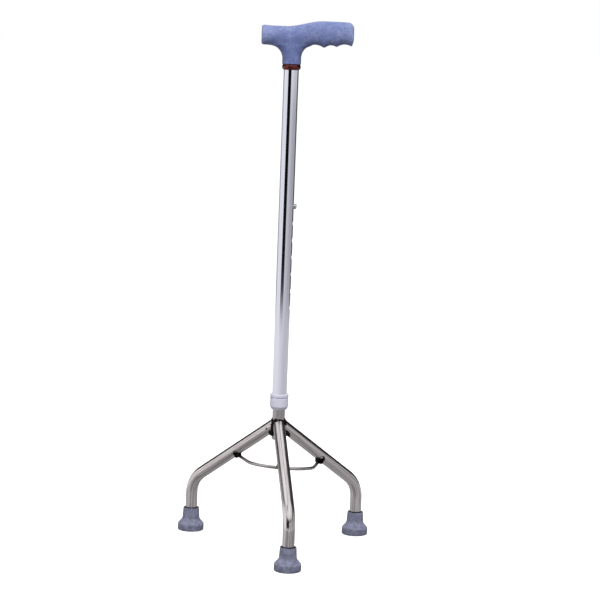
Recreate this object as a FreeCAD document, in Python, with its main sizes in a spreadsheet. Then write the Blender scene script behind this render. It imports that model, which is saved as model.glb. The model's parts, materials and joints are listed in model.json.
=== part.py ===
import FreeCAD, Part
import math
import os
import re
import Sketcher

# A height-adjustable walking cane that stands on three splayed legs. Millimetres, +Z up.
# The origin is on the floor, on the axis of the shaft. +X is the long end of the handle, -Y the front.
# The cane is drawn at its lowest setting, with the button in the top hole and the collar nut tight.

UP = FreeCAD.Vector(0, 0, 1)
LEG_NAMES = ("front", "right", "left")
SETTLING_ROUNDS = 6

DIMENSIONS = [
    # alias, value, what it is
    ("upper_tube_diameter", 22.2, "outside of the aluminium shaft tube, 7/8 inch"),
    ("upper_tube_wall", 1.2, "wall of the shaft tube"),
    ("upper_tube_top", 762.0, "end of the shaft tube inside the handle"),
    ("upper_tube_bottom", 229.0, "end of the shaft tube inside the collar"),
    ("stem_diameter", 19.05, "outside of the steel stem, 3/4 inch"),
    ("stem_wall", 1.2, "wall of the stem"),
    ("stem_top", 545.0, "upper end of the stem inside the shaft tube"),
    ("stem_bottom", 165.5, "lower end of the stem, below the legs"),
    ("sliding_play", 0.06, "radial clearance of a sliding fit"),
    # height setting
    ("button_level", 516.0, "height of the button's axis"),
    ("button_diameter", 7.8, "snap button"),
    ("button_reach", 15.1, "tip of the button, from the shaft axis"),
    ("button_dome", 2.0, "height of the button's domed tip"),
    ("button_flange_diameter", 10.4, "flange that keeps the button in the stem"),
    ("button_flange_thickness", 1.5, "thickness of that flange"),
    ("button_back", 4.7, "back of the button, from the shaft axis"),
    ("stem_hole_diameter", 8.0, "hole for the button in the stem"),
    ("tube_hole_diameter", 8.5, "height holes in the shaft tube"),
    ("height_pitch", 25.4, "distance between height holes, 1 inch"),
    ("height_holes", 7, "number of height holes"),
    ("spring_thickness", 0.7, "strip of the button's spring"),
    ("spring_width", 5.0, "width of that strip"),
    ("spring_front", 4.6, "spring arm behind the button, from the axis"),
    ("spring_back", 7.9, "spring arm on the far wall, from the axis"),
    ("spring_bend_level", 486.0, "where the spring's bend begins"),
    ("spring_front_top", 521.0, "end of the arm behind the button"),
    ("spring_back_top", 525.0, "end of the arm on the far wall"),
    ("plug_cap_height", 3.4, "visible cap of the plug in the stem's lower end"),
    ("plug_cap_round", 3.2, "rounding of that cap"),
    ("plug_spigot_height", 10.0, "part of the plug inside the stem"),
    ("bush_head_height", 4.0, "rim of the guide bush above the stem"),
    ("bush_spigot_height", 12.0, "part of the guide bush inside the stem"),
    ("bush_bore_diameter", 12.0, "hole through the guide bush"),
    ("bush_chamfer", 0.8, "chamfer of the bush's rim"),
    # collar that takes up the play between shaft tube and stem
    ("flange_diameter", 27.8, "visible rim of the collar sleeve"),
    ("flange_top", 233.0, "upper edge of that rim"),
    ("flange_bottom", 228.0, "lower edge of that rim"),
    ("flange_bevel_height", 0.9, "bevel of that rim's upper edge"),
    ("flange_bevel_depth", 0.7, "the same bevel, inwards"),
    ("thread_diameter", 23.2, "threaded part of the sleeve, under the nut"),
    ("sleeve_bottom", 214.5, "lower end of the sleeve"),
    ("nut_diameter", 27.8, "outside of the lock nut"),
    ("nut_top", 226.8, "upper edge of the nut"),
    ("nut_shoulder", 213.7, "where the nut begins to taper"),
    ("nut_bottom", 209.0, "lower edge of the nut"),
    ("nut_bottom_diameter", 22.6, "outside of the nut's lower edge"),
    ("nut_cavity_diameter", 23.8, "inside of the nut, around the thread"),
    ("nut_mouth_diameter", 19.8, "hole in the nut's lower end"),
    ("nut_cone_top", 213.0, "where the nut's inner cone begins"),
    ("nut_cone_bottom", 209.9, "where the nut's inner cone ends"),
    ("nut_cone_end_diameter", 20.4, "small end of the inner cone"),
    ("nut_lower_round", 2.4, "rounding where the nut begins to taper"),
    ("nut_upper_round", 0.6, "rounding of the nut's upper edge"),
    ("cone_gap", 0.1, "clearance between nut and collet"),
    ("collet_top", 214.2, "upper end of the split collet"),
    ("collet_slit", 2.0, "width of the collet's slit"),
    # ring under the handle
    ("ring_diameter", 27.6, "trim ring and neck of the handle"),
    ("ring_top", 726.5, "upper face of the ring"),
    ("ring_bottom", 718.0, "lower face of the ring"),
    ("ring_lower_round", 2.4, "rounding of the ring's lower edge"),
    ("ring_upper_round", 1.4, "rounding of the ring's upper edge"),
    # handle
    ("grip_short_end", 45.5, "short end of the handle, from the axis"),
    ("grip_long_end", 90.3, "long end of the handle, from the axis"),
    ("grip_depth", 27.8, "depth of the handle, front to back"),
    ("grip_low_top", 781.6, "top of the handle over its short end"),
    ("grip_high_top", 790.7, "top of the handle over the fingers"),
    ("grip_rise_start", -10.0, "where the top begins to rise, from the axis"),
    ("grip_rise_end", 45.0, "where it is fully risen"),
    ("grip_end_lift", 1.1, "lift of the top at the short end, fall at the long"),
    ("grip_short_underside", 753.7, "underside of the short end"),
    ("grip_end_round", 2.2, "rounding of the handle's two ends"),
    ("first_groove_place", 34.0, "first finger groove, from the axis"),
    ("first_groove_top", 756.0, "deepest line of that groove"),
    ("first_ridge_place", 50.0, "ridge between first and second finger"),
    ("first_ridge_level", 752.4, "lowest line of that ridge"),
    ("second_ridge_place", 66.4, "ridge between second and third finger"),
    ("second_ridge_level", 753.6, "lowest line of that ridge"),
    ("grip_tip_level", 755.0, "lowest line of the long end"),
    ("second_groove_place", 57.6, "second finger groove, from the axis"),
    ("second_groove_radius", 12.7, "radius of that groove"),
    ("second_groove_top", 755.9, "deepest line of that groove"),
    ("third_groove_place", 77.6, "third finger groove, from the axis"),
    ("third_groove_radius", 18.5, "radius of that groove"),
    ("third_groove_top", 757.9, "deepest line of that groove"),
    ("short_flank_radius", 20.6, "flank arc under the short end"),
    ("short_flank_level", 733.4, "height of that arc's centre"),
    ("long_flank_radius", 20.2, "flank arc that runs into the first groove"),
    ("long_flank_level", 735.8, "height of that arc's centre"),
    ("neck_merge_level", 769.0, "where the neck is lost inside the bar"),
    ("neck_depth", 27.5, "depth of the neck, front to back"),
    # screw that holds the handle on the shaft tube
    ("screw_level", 742.0, "height of the handle screw"),
    ("screw_diameter", 3.5, "its thread"),
    ("screw_head_diameter", 6.4, "its head"),
    ("screw_head_seat", 11.7, "underside of the head, from the axis"),
    ("screw_head_top", 13.4, "top of the head, from the axis"),
    ("screw_point", 5.5, "end of the screw, from the axis"),
    ("screw_point_length", 2.0, "tapered point of the screw"),
    ("screw_point_taper", 0.9, "narrowing of that point, each side"),
    ("screw_head_edge", 0.9, "upright edge of the head"),
    ("screw_head_dome", 0.8, "narrowing of the head towards its top, each side"),
    ("screw_slot_width", 0.9, "width of the cross slot"),
    ("screw_slot_length", 3.6, "length of the cross slot"),
    ("screw_slot_depth", 1.0, "depth of the cross slot"),
    # legs
    ("leg_diameter", 18.0, "leg tube"),
    ("leg_wall", 1.5, "wall of the leg tube"),
    ("front_azimuth", 8.0, "direction of the front leg, from -Y towards +X"),
    ("right_azimuth", 124.0, "direction of the right leg"),
    ("left_azimuth", -120.0, "direction of the left leg"),
    ("leg_reach", 150.5, "foot centres, from the shaft axis"),
    ("leg_slope", 36.0, "fall of a leg's upper run, in degrees"),
    ("leg_apex", 189.4, "where the legs' axes meet the shaft axis"),
    ("leg_bend_radius", 42.0, "bend of a leg, at its centreline"),
    ("leg_bottom", 8.0, "lower end of a leg inside its foot"),
    ("vent_diameter", 2.4, "vent hole in each leg"),
    ("vent_place", 15.5, "vent hole, from the shaft axis"),
    ("hub_weld_width", 1.8, "weld bead around the foot of each leg"),
    # brace
    ("brace_diameter", 5.0, "rod under the legs"),
    ("brace_bow_radius", 50.7, "bow of the rod, at its centreline"),
    ("brace_reach_front", 66.9, "reach of the front leg's axis where the rod touches it"),
    ("brace_reach_right", 85.3, "the same on the right leg"),
    ("brace_reach_left", 75.4, "the same on the left leg"),
    ("brace_gap", 0.05, "space between rod and leg, under the weld"),
    ("brace_overhang", 4.0, "rod beyond the side legs' centrelines"),
    ("brace_weld_radius", 5.8, "weld lump at each joint"),
    # feet
    ("foot_diameter", 40.0, "sole of a rubber foot"),
    ("foot_height", 35.0, "height of a rubber foot"),
    ("foot_band", 10.0, "upright band at the sole"),
    ("foot_flare", 18.0, "top of the foot's flare"),
    ("foot_flare_diameter", 26.3, "outside at the top of the flare"),
    ("foot_rim_diameter", 24.2, "outside at the rim"),
    ("foot_recess_diameter", 22.0, "recess in the rim, around the leg"),
    ("foot_recess_depth", 4.0, "depth of that recess"),
    ("foot_sole_chamfer", 1.2, "chamfer around the sole"),
    ("foot_band_round", 2.5, "rounding above the upright band"),
    ("foot_flare_round", 6.0, "rounding where the flare meets the neck"),
    ("foot_rim_round", 0.5, "rounding of the rim"),
    ("foot_floor", 6.5, "rubber under the washer"),
    ("tread_depth", 1.8, "grooves in the sole"),
    ("inner_tread_radius", 7.0, "middle of the inner groove"),
    ("outer_tread_radius", 13.6, "middle of the outer groove"),
    ("tread_width", 2.6, "width of the grooves at the sole"),
    ("tread_slant", 0.4, "slant of each side of a groove"),
    ("washer_diameter", 17.6, "steel disc under each leg"),
]

doc = FreeCAD.newDocument("walking_cane")
dims = doc.addObject("Spreadsheet::Sheet", "dims")
for row, (alias, number, note) in enumerate(DIMENSIONS, start=1):
    dims.set(f"A{row}", note)
    dims.set(f"B{row}", str(number))
    dims.setAlias(f"B{row}", alias)
doc.recompute()


# ---- expressions, sketches and features ------------------------------------------------------

def bound(text):
    """A formula in the sheet's own words, with each alias written as the document knows it."""
    return re.sub(r"[a-z]+(?:_[a-z]+)+", lambda word: "dims." + word.group(0), text)


def value(text):
    """The number that such a formula gives."""
    return float(dims.evalExpression(bound(text)))


def bind(thing, **formulas):
    """Bind properties to formulas; a double underscore stands for the dot in a property's path."""
    for name, text in formulas.items():
        thing.setExpression(name.replace("__", "."), bound(text))


def new_body(label):
    """An empty PartDesign body with the sub-part's name."""
    body = doc.addObject("PartDesign::Body", label)
    body.Label = label
    return body


def new_sketch(body, plane, offset="0"):
    """A sketch on one of the body's origin planes, moved along that plane's normal."""
    sketch = body.newObject("Sketcher::SketchObject", body.Label + "_sketch")
    support = next(item for item in body.Origin.OriginFeatures if item.Role == plane)
    sketch.AttachmentSupport = [(support, "")]
    sketch.MapMode = "FlatFace"
    bind(sketch, AttachmentOffset__Base__z=offset)
    return sketch


def rule(sketch, kind, *where, formula=None):
    """Add a constraint, bound to a formula where it has a size."""
    sizes = [] if formula is None else [value(formula)]
    index = sketch.addConstraint(Sketcher.Constraint(kind, *where, *sizes))
    if formula is not None:
        sketch.setExpression(f"Constraints[{index}]", bound(formula))


def hold_point(sketch, shape, end, across, along):
    """Hold a point of the sketch at its place, each coordinate bound to a formula."""
    for kind, axis, formula in (("DistanceX", -2, across), ("DistanceY", -1, along)):
        if formula == "0":
            rule(sketch, "PointOnObject", shape, end, axis)
        else:
            rule(sketch, kind, -1, 1, shape, end, formula=formula)


def outline(sketch, points):
    """A closed outline of straight lines through points, each given as two formulas."""
    spots = [FreeCAD.Vector(value(across), value(along), 0) for across, along in points]
    count = len(points)
    lines = [
        sketch.addGeometry(Part.LineSegment(spots[i], spots[(i + 1) % count])) for i in range(count)
    ]
    for i, line in enumerate(lines):
        rule(sketch, "Coincident", line, 2, lines[(i + 1) % count], 1)
        hold_point(sketch, line, 1, *points[i])


def circle(sketch, across, along, radius):
    """A circle whose centre and radius are formulas."""
    centre = FreeCAD.Vector(value(across), value(along), 0)
    ring = sketch.addGeometry(Part.Circle(centre, UP, value(radius)))
    hold_point(sketch, ring, 3, across, along)
    rule(sketch, "Radius", ring, formula=radius)


def turned(label, points):
    """A body turned about the Z axis from an outline of radius and height."""
    body = new_body(label)
    sketch = new_sketch(body, "XZ_Plane")
    outline(sketch, points)
    turn = body.newObject("PartDesign::Revolution", label + "_turn")
    turn.Profile = sketch
    turn.ReferenceAxis = (sketch, ["V_Axis"])
    turn.Angle = 360
    doc.recompute()
    return body


def round_edges(body, radius, level, size):
    """Round the circular edge that has this radius and lies at this level."""
    base = body.Tip
    names = [
        f"Edge{number}"
        for number, edge in enumerate(base.Shape.Edges, start=1)
        if isinstance(edge.Curve, Part.Circle)
        and abs(edge.Curve.Radius - value(radius)) < 0.01
        and abs(edge.Curve.Center.z - value(level)) < 0.01
    ]
    fillet = body.newObject("PartDesign::Fillet", body.Label + "_round")
    fillet.Base = (base, names)
    bind(fillet, Radius=size)
    doc.recompute()


def drill(body, plane, across, along, radius, depth, away=False):
    """Drill one wall from the middle of the body outwards, and see that material went."""
    sketch = new_sketch(body, plane)
    circle(sketch, across, along, radius)
    before = body.Tip.Shape.Volume
    hole = body.newObject("PartDesign::Pocket", body.Label + "_hole")
    hole.Profile = sketch
    hole.Type = "Length"
    hole.Reversed = away
    bind(hole, Length=depth)
    doc.recompute()
    if not hole.Shape.Volume < before:
        raise RuntimeError(f"a hole in {body.Label} cut nothing")
    return hole


def primitive(kind, label, base=None, turn=None, **formulas):
    """A Part primitive with its sizes bound to formulas."""
    shape = doc.addObject("Part::" + kind, label)
    bind(shape, **formulas)
    shape.Placement = FreeCAD.Placement(base or FreeCAD.Vector(), turn or FreeCAD.Rotation())
    return shape


def cut(label, base, tools):
    """One shape less some others."""
    tool = tools[0]
    if len(tools) > 1:
        tool = doc.addObject("Part::MultiFuse", label + "_cutters")
        tool.Shapes = tools
    result = doc.addObject("Part::Cut", label)
    result.Base = base
    result.Tool = tool
    return result


def fuse(label, shapes):
    """Several shapes as one."""
    result = doc.addObject("Part::MultiFuse", label)
    result.Shapes = shapes
    return result


# ---- shaft: tube, handle, ring ---------------------------------------------------------------

def upper_tube():
    """The shaft tube, with its row of height holes on the long side of the handle."""
    outside = "upper_tube_diameter / 2"
    inside = "upper_tube_diameter / 2 - upper_tube_wall"
    body = turned("upper_tube", [
        (inside, "upper_tube_bottom"),
        (outside, "upper_tube_bottom"),
        (outside, "upper_tube_top"),
        (inside, "upper_tube_top"),
    ])
    drill(body, "XZ_Plane", "0", "screw_level", "screw_diameter / 2", "upper_tube_diameter")
    top_hole = drill(body, "YZ_Plane", "0", "button_level", "tube_hole_diameter / 2",
                     "upper_tube_diameter", away=True)
    row = body.newObject("PartDesign::LinearPattern", "height_holes_row")
    row.Originals = [top_hole]
    row.Direction = (next(item for item in body.Origin.OriginFeatures if item.Role == "Z_Axis"), [""])
    row.Reversed = True
    bind(row, Length="height_pitch * (height_holes - 1)", Occurrences="height_holes")
    body.Tip = row
    doc.recompute()
    return body


def neck_ring():
    """The trim ring between the handle and the shaft tube."""
    inside = "upper_tube_diameter / 2"
    outside = "ring_diameter / 2"
    body = turned("neck_ring", [
        (inside, "ring_bottom"),
        (outside, "ring_bottom"),
        (outside, "ring_top"),
        (inside, "ring_top"),
    ])
    round_edges(body, outside, "ring_bottom", "ring_lower_round")
    round_edges(body, outside, "ring_top", "ring_upper_round")
    return body


def loft(label, sections):
    """A solid skinned over closed sections."""
    skin = doc.addObject("Part::Loft", label)
    skin.Sections = sections
    skin.Solid = True
    return skin


def grip_top(place):
    """Height of the handle's top line: low over the short end, then one smooth rise."""
    start, end = value("grip_rise_start"), value("grip_rise_end")
    share = min(max((place - start) / (end - start), 0), 1)
    low, high = value("grip_low_top"), value("grip_high_top")
    return low + (high - low) * share * share * (3 - 2 * share)


def grip_bar():
    """The bar under the palm, skinned over upright oval sections."""
    upright = FreeCAD.Rotation(FreeCAD.Vector(0, 1, 0), 90)
    stations = [
        # place along the bar, underside, change of the top line
        ("-grip_short_end", "grip_short_underside", "grip_end_lift"),
        ("-grip_short_end / 2", "grip_short_underside", "0"),
        ("0", "grip_short_underside", "0"),
        ("first_groove_place / 2", "(grip_short_underside + first_groove_top) / 2", "0"),
        ("first_groove_place", "first_groove_top", "0"),
        ("first_ridge_place", "first_ridge_level", "0"),
        ("second_ridge_place", "second_ridge_level", "0"),
        ("third_groove_place", "(second_ridge_level + grip_tip_level) / 2", "0"),
        ("grip_long_end", "grip_tip_level", "-grip_end_lift"),
    ]
    sections = []
    for number, (place, underside, lift) in enumerate(stations, start=1):
        top = grip_top(value(place)) + value(lift)
        section = doc.addObject("Part::Ellipse", f"grip_section_{number}")
        section.MajorRadius = (top - value(underside)) / 2
        bind(section, MinorRadius="grip_depth / 2")
        middle = FreeCAD.Vector(value(place), 0, (top + value(underside)) / 2)
        section.Placement = FreeCAD.Placement(middle, upright)
        sections.append(section)
    return loft("grip_bar", sections)


def grip_neck():
    """The neck: round at the ring, spreading along two flank arcs until it is lost in the bar."""
    base, merge = value("ring_top"), value("neck_merge_level")
    underside = value("grip_short_underside")

    def spread(side, level):
        radius = value(side + "_flank_radius")
        rise = max(level - value(side + "_flank_level"), 0)
        return value("ring_diameter / 2") + radius - math.sqrt(radius * radius - rise * rise)

    levels = [base + share * (underside - base) for share in (0, 0.25, 0.48, 0.7, 0.87, 0.98)]
    sections = []
    for number, level in enumerate(levels + [merge], start=1):
        back, ahead = (spread(side, min(level, levels[-1])) for side in ("short", "long"))
        section = doc.addObject("Part::Ellipse", f"neck_section_{number}")
        section.MajorRadius = (back + ahead) / 2
        bind(section, MinorRadius="neck_depth / 2")
        middle = FreeCAD.Vector((ahead - back) / 2, 0, level)
        section.Placement = FreeCAD.Placement(middle, FreeCAD.Rotation())
        sections.append(section)
    return loft("grip_neck", sections)


def across_grip(label, place, top, radius):
    """A long cylinder along Y, whose highest line cuts one finger groove."""
    middle = FreeCAD.Vector(value(place), value("grip_depth"), value(f"{top} - {radius}"))
    along_y = FreeCAD.Rotation(FreeCAD.Vector(1, 0, 0), 90)
    return primitive("Cylinder", label, middle, along_y, Radius=radius, Height="grip_depth * 2")


def handle_grip():
    """The moulded handle: bar and neck in one, with finger grooves and the socket for the tube."""
    bar = grip_bar()
    doc.recompute()
    ends = [
        number
        for number, edge in enumerate(bar.Shape.Edges, start=1)
        if edge.BoundBox.XLength < 0.01
    ]
    rounded = doc.addObject("Part::Fillet", "grip_bar_rounded")
    rounded.Base = bar
    rounded.Edges = [(number, value("grip_end_round"), value("grip_end_round")) for number in ends]
    blank = fuse("grip_blank", [rounded, grip_neck()])
    socket = primitive("Cylinder", "grip_socket", UP * value("ring_bottom"),
                       Radius="upper_tube_diameter / 2", Height="upper_tube_top - ring_bottom")
    backwards = FreeCAD.Rotation(FreeCAD.Vector(1, 0, 0), -90)
    screw_axis = UP * value("screw_level")
    head_seat = screw_axis + FreeCAD.Vector(0, value("screw_head_seat"), 0)
    head_hole = primitive("Cylinder", "grip_screw_recess", head_seat, backwards,
                          Radius="screw_head_diameter / 2", Height="grip_depth")
    thread_hole = primitive("Cylinder", "grip_screw_hole", screw_axis, backwards,
                            Radius="screw_diameter / 2", Height="grip_depth / 2")
    grooves = [
        across_grip("second_groove", "second_groove_place", "second_groove_top", "second_groove_radius"),
        across_grip("third_groove", "third_groove_place", "third_groove_top", "third_groove_radius"),
    ]
    return cut("handle_grip", blank, grooves + [socket, head_hole, thread_hole])


def handle_screw():
    """The screw at the back of the neck that holds the handle on the shaft tube."""
    screw = turned("handle_screw", [
        ("0", "screw_point"),
        ("screw_diameter / 2 - screw_point_taper", "screw_point"),
        ("screw_diameter / 2", "screw_point + screw_point_length"),
        ("screw_diameter / 2", "screw_head_seat"),
        ("screw_head_diameter / 2", "screw_head_seat"),
        ("screw_head_diameter / 2", "screw_head_seat + screw_head_edge"),
        ("screw_head_diameter / 2 - screw_head_dome", "screw_head_top"),
        ("0", "screw_head_top"),
    ])
    sketch = new_sketch(screw, "XY_Plane", "screw_head_top")
    half_length, half_width = "screw_slot_length / 2", "screw_slot_width / 2"
    outline(sketch, [
        (half_length, half_width), (half_width, half_width), (half_width, half_length),
        ("-" + half_width, half_length), ("-" + half_width, half_width), ("-" + half_length, half_width),
        ("-" + half_length, "-" + half_width), ("-" + half_width, "-" + half_width),
        ("-" + half_width, "-" + half_length), (half_width, "-" + half_length),
        (half_width, "-" + half_width), (half_length, "-" + half_width),
    ])
    slot = screw.newObject("PartDesign::Pocket", "screw_slot")
    slot.Profile = sketch
    slot.Type = "Length"
    bind(slot, Length="screw_slot_depth")
    screw.Placement = FreeCAD.Placement(UP * value("screw_level"),
                                        FreeCAD.Rotation(FreeCAD.Vector(1, 0, 0), -90))
    return screw


# ---- collar: sleeve, collet, nut -------------------------------------------------------------

def collar_sleeve():
    """The sleeve on the end of the shaft tube: a rim around the tube and a thread for the nut."""
    bore = "stem_diameter / 2 + sliding_play"
    thread = "thread_diameter / 2"
    rim = "flange_diameter / 2"
    seat = "upper_tube_diameter / 2"
    body = turned("collar_sleeve", [
        (bore, "sleeve_bottom"),
        (thread, "sleeve_bottom"),
        (thread, "flange_bottom"),
        (rim, "flange_bottom"),
        (rim, "flange_top - flange_bevel_height"),
        (rim + " - flange_bevel_depth", "flange_top"),
        (seat, "flange_top"),
        (seat, "upper_tube_bottom"),
        (bore, "upper_tube_bottom"),
    ])
    return body


def lock_collet():
    """The split ring that the nut squeezes onto the stem."""
    bore = "stem_diameter / 2 + sliding_play"
    gap = "cone_gap"
    body = turned("lock_collet", [
        (bore, f"nut_cone_bottom + {gap}"),
        (f"nut_cone_end_diameter / 2 - {gap}", f"nut_cone_bottom + {gap}"),
        (f"nut_cavity_diameter / 2 - 3 * {gap}", "nut_cone_top"),
        (f"nut_cavity_diameter / 2 - 3 * {gap}", "collet_top"),
        (bore, "collet_top"),
    ])
    sketch = new_sketch(body, "XY_Plane", "nut_bottom")
    outline(sketch, [
        ("stem_diameter / 4", "-collet_slit / 2"),
        ("nut_diameter / 2", "-collet_slit / 2"),
        ("nut_diameter / 2", "collet_slit / 2"),
        ("stem_diameter / 4", "collet_slit / 2"),
    ])
    slit = body.newObject("PartDesign::Pocket", "collet_slit")
    slit.Profile = sketch
    slit.Type = "Length"
    slit.Reversed = True
    bind(slit, Length="nut_top - nut_bottom")
    return body


def lock_nut():
    """The nut that tightens the collar, tapered at its lower end."""
    body = turned("lock_nut", [
        ("nut_mouth_diameter / 2", "nut_bottom"),
        ("nut_bottom_diameter / 2", "nut_bottom"),
        ("nut_diameter / 2", "nut_shoulder"),
        ("nut_diameter / 2", "nut_top"),
        ("nut_cavity_diameter / 2", "nut_top"),
        ("nut_cavity_diameter / 2", "nut_cone_top"),
        ("nut_cone_end_diameter / 2", "nut_cone_bottom"),
        ("nut_mouth_diameter / 2", "nut_cone_bottom"),
    ])
    round_edges(body, "nut_diameter / 2", "nut_shoulder", "nut_lower_round")
    round_edges(body, "nut_diameter / 2", "nut_top", "nut_upper_round")
    return body


# ---- stem, snap button and its spring --------------------------------------------------------

def stem_tube():
    """The steel stem that the shaft tube slides on, with one hole for the snap button."""
    outside = "stem_diameter / 2"
    inside = "stem_diameter / 2 - stem_wall"
    body = turned("stem_tube", [
        (inside, "stem_bottom"),
        (outside, "stem_bottom"),
        (outside, "stem_top"),
        (inside, "stem_top"),
    ])
    drill(body, "YZ_Plane", "0", "button_level", "stem_hole_diameter / 2", "stem_diameter", away=True)
    return body


def stem_guide_bush():
    """The plastic bush in the stem's top end, which runs in the bore of the shaft tube."""
    head = "upper_tube_diameter / 2 - upper_tube_wall - sliding_play"
    spigot = "stem_diameter / 2 - stem_wall"
    return turned("stem_guide_bush", [
        ("bush_bore_diameter / 2", "stem_top - bush_spigot_height"),
        (spigot, "stem_top - bush_spigot_height"),
        (spigot, "stem_top"),
        (head, "stem_top"),
        (head, "stem_top + bush_head_height - bush_chamfer"),
        (head + " - bush_chamfer", "stem_top + bush_head_height"),
        ("bush_bore_diameter / 2", "stem_top + bush_head_height"),
    ])


def stem_end_plug():
    """The rounded plug that closes the stem's lower end."""
    spigot = "stem_diameter / 2 - stem_wall"
    body = turned("stem_end_plug", [
        ("0", "stem_bottom - plug_cap_height"),
        ("stem_diameter / 2", "stem_bottom - plug_cap_height"),
        ("stem_diameter / 2", "stem_bottom"),
        (spigot, "stem_bottom"),
        (spigot, "stem_bottom + plug_spigot_height"),
        ("0", "stem_bottom + plug_spigot_height"),
    ])
    round_edges(body, "stem_diameter / 2", "stem_bottom - plug_cap_height", "plug_cap_round")
    return body


def snap_button():
    """The domed button that locks the height, drawn along Z and turned to point along +X."""
    body = turned("snap_button", [
        ("0", "button_back"),
        ("button_flange_diameter / 2", "button_back"),
        ("button_flange_diameter / 2", "button_back + button_flange_thickness"),
        ("button_diameter / 2", "button_back + button_flange_thickness"),
        ("button_diameter / 2", "button_reach"),
        ("0", "button_reach"),
    ])
    round_edges(body, "button_diameter / 2", "button_reach", "button_dome")
    body.Placement = FreeCAD.Placement(UP * value("button_level"),
                                       FreeCAD.Rotation(FreeCAD.Vector(0, 1, 0), 90))
    return body


def button_spring():
    """The bent strip inside the stem that pushes the button out: two arms and a round bend."""
    body = new_body("button_spring")
    sketch = new_sketch(body, "XZ_Plane")
    middle = "(spring_front - spring_back) / 2"
    outer = "(spring_front + spring_back) / 2"
    inner = outer + " - spring_thickness"
    bend = FreeCAD.Vector(value(middle), value("spring_bend_level"), 0)
    bends = []
    for radius in (outer, inner):
        arc = Part.ArcOfCircle(Part.Circle(bend, UP, value(radius)), math.pi, 2 * math.pi)
        index = sketch.addGeometry(arc)
        hold_point(sketch, index, 3, middle, "spring_bend_level")
        rule(sketch, "Radius", index, formula=radius)
        bends.append(index)
    # each arm runs from the outer bend's end up, across the strip, and down to the inner bend's end
    for end, top, side in ((2, "spring_front_top", 1), (1, "spring_back_top", -1)):
        out, near = (value(middle) + side * value(radius) for radius in (outer, inner))
        corners = [(out, bend.y), (out, value(top)), (near, value(top)), (near, bend.y)]
        spots = [FreeCAD.Vector(across, along, 0) for across, along in corners]
        rise, cap, fall = (
            sketch.addGeometry(Part.LineSegment(spots[i], spots[i + 1])) for i in range(3)
        )
        rule(sketch, "Coincident", bends[0], end, rise, 1)
        rule(sketch, "Coincident", rise, 2, cap, 1)
        rule(sketch, "Coincident", cap, 2, fall, 1)
        rule(sketch, "Coincident", fall, 2, bends[1], end)
        rule(sketch, "Vertical", rise)
        rule(sketch, "Vertical", fall)
        rule(sketch, "Horizontal", cap)
        rule(sketch, "Horizontal", bends[0], end, bends[0], 3)
        rule(sketch, "Horizontal", bends[1], end, bends[1], 3)
        rule(sketch, "DistanceY", -1, 1, cap, 1, formula=top)
    pad = body.newObject("PartDesign::Pad", "spring_strip")
    pad.Profile = sketch
    pad.Midplane = True
    bind(pad, Length="spring_width")
    return body


# ---- legs, brace, welds ----------------------------------------------------------------------

def leg_turn(name):
    """The turn about Z that takes +X to the direction of a leg."""
    return FreeCAD.Rotation(UP, value(name + "_azimuth") - 90)


# half the angle from each leg to its neighbour, on its left and on its right as seen from the shaft
HALF_ANGLES = {
    "front": ("(right_azimuth - front_azimuth) / 2", "(front_azimuth - left_azimuth) / 2"),
    "right": ("(left_azimuth + 360 - right_azimuth) / 2", "(right_azimuth - front_azimuth) / 2"),
    "left": ("(front_azimuth - left_azimuth) / 2", "(left_azimuth + 360 - right_azimuth) / 2"),
}


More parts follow.
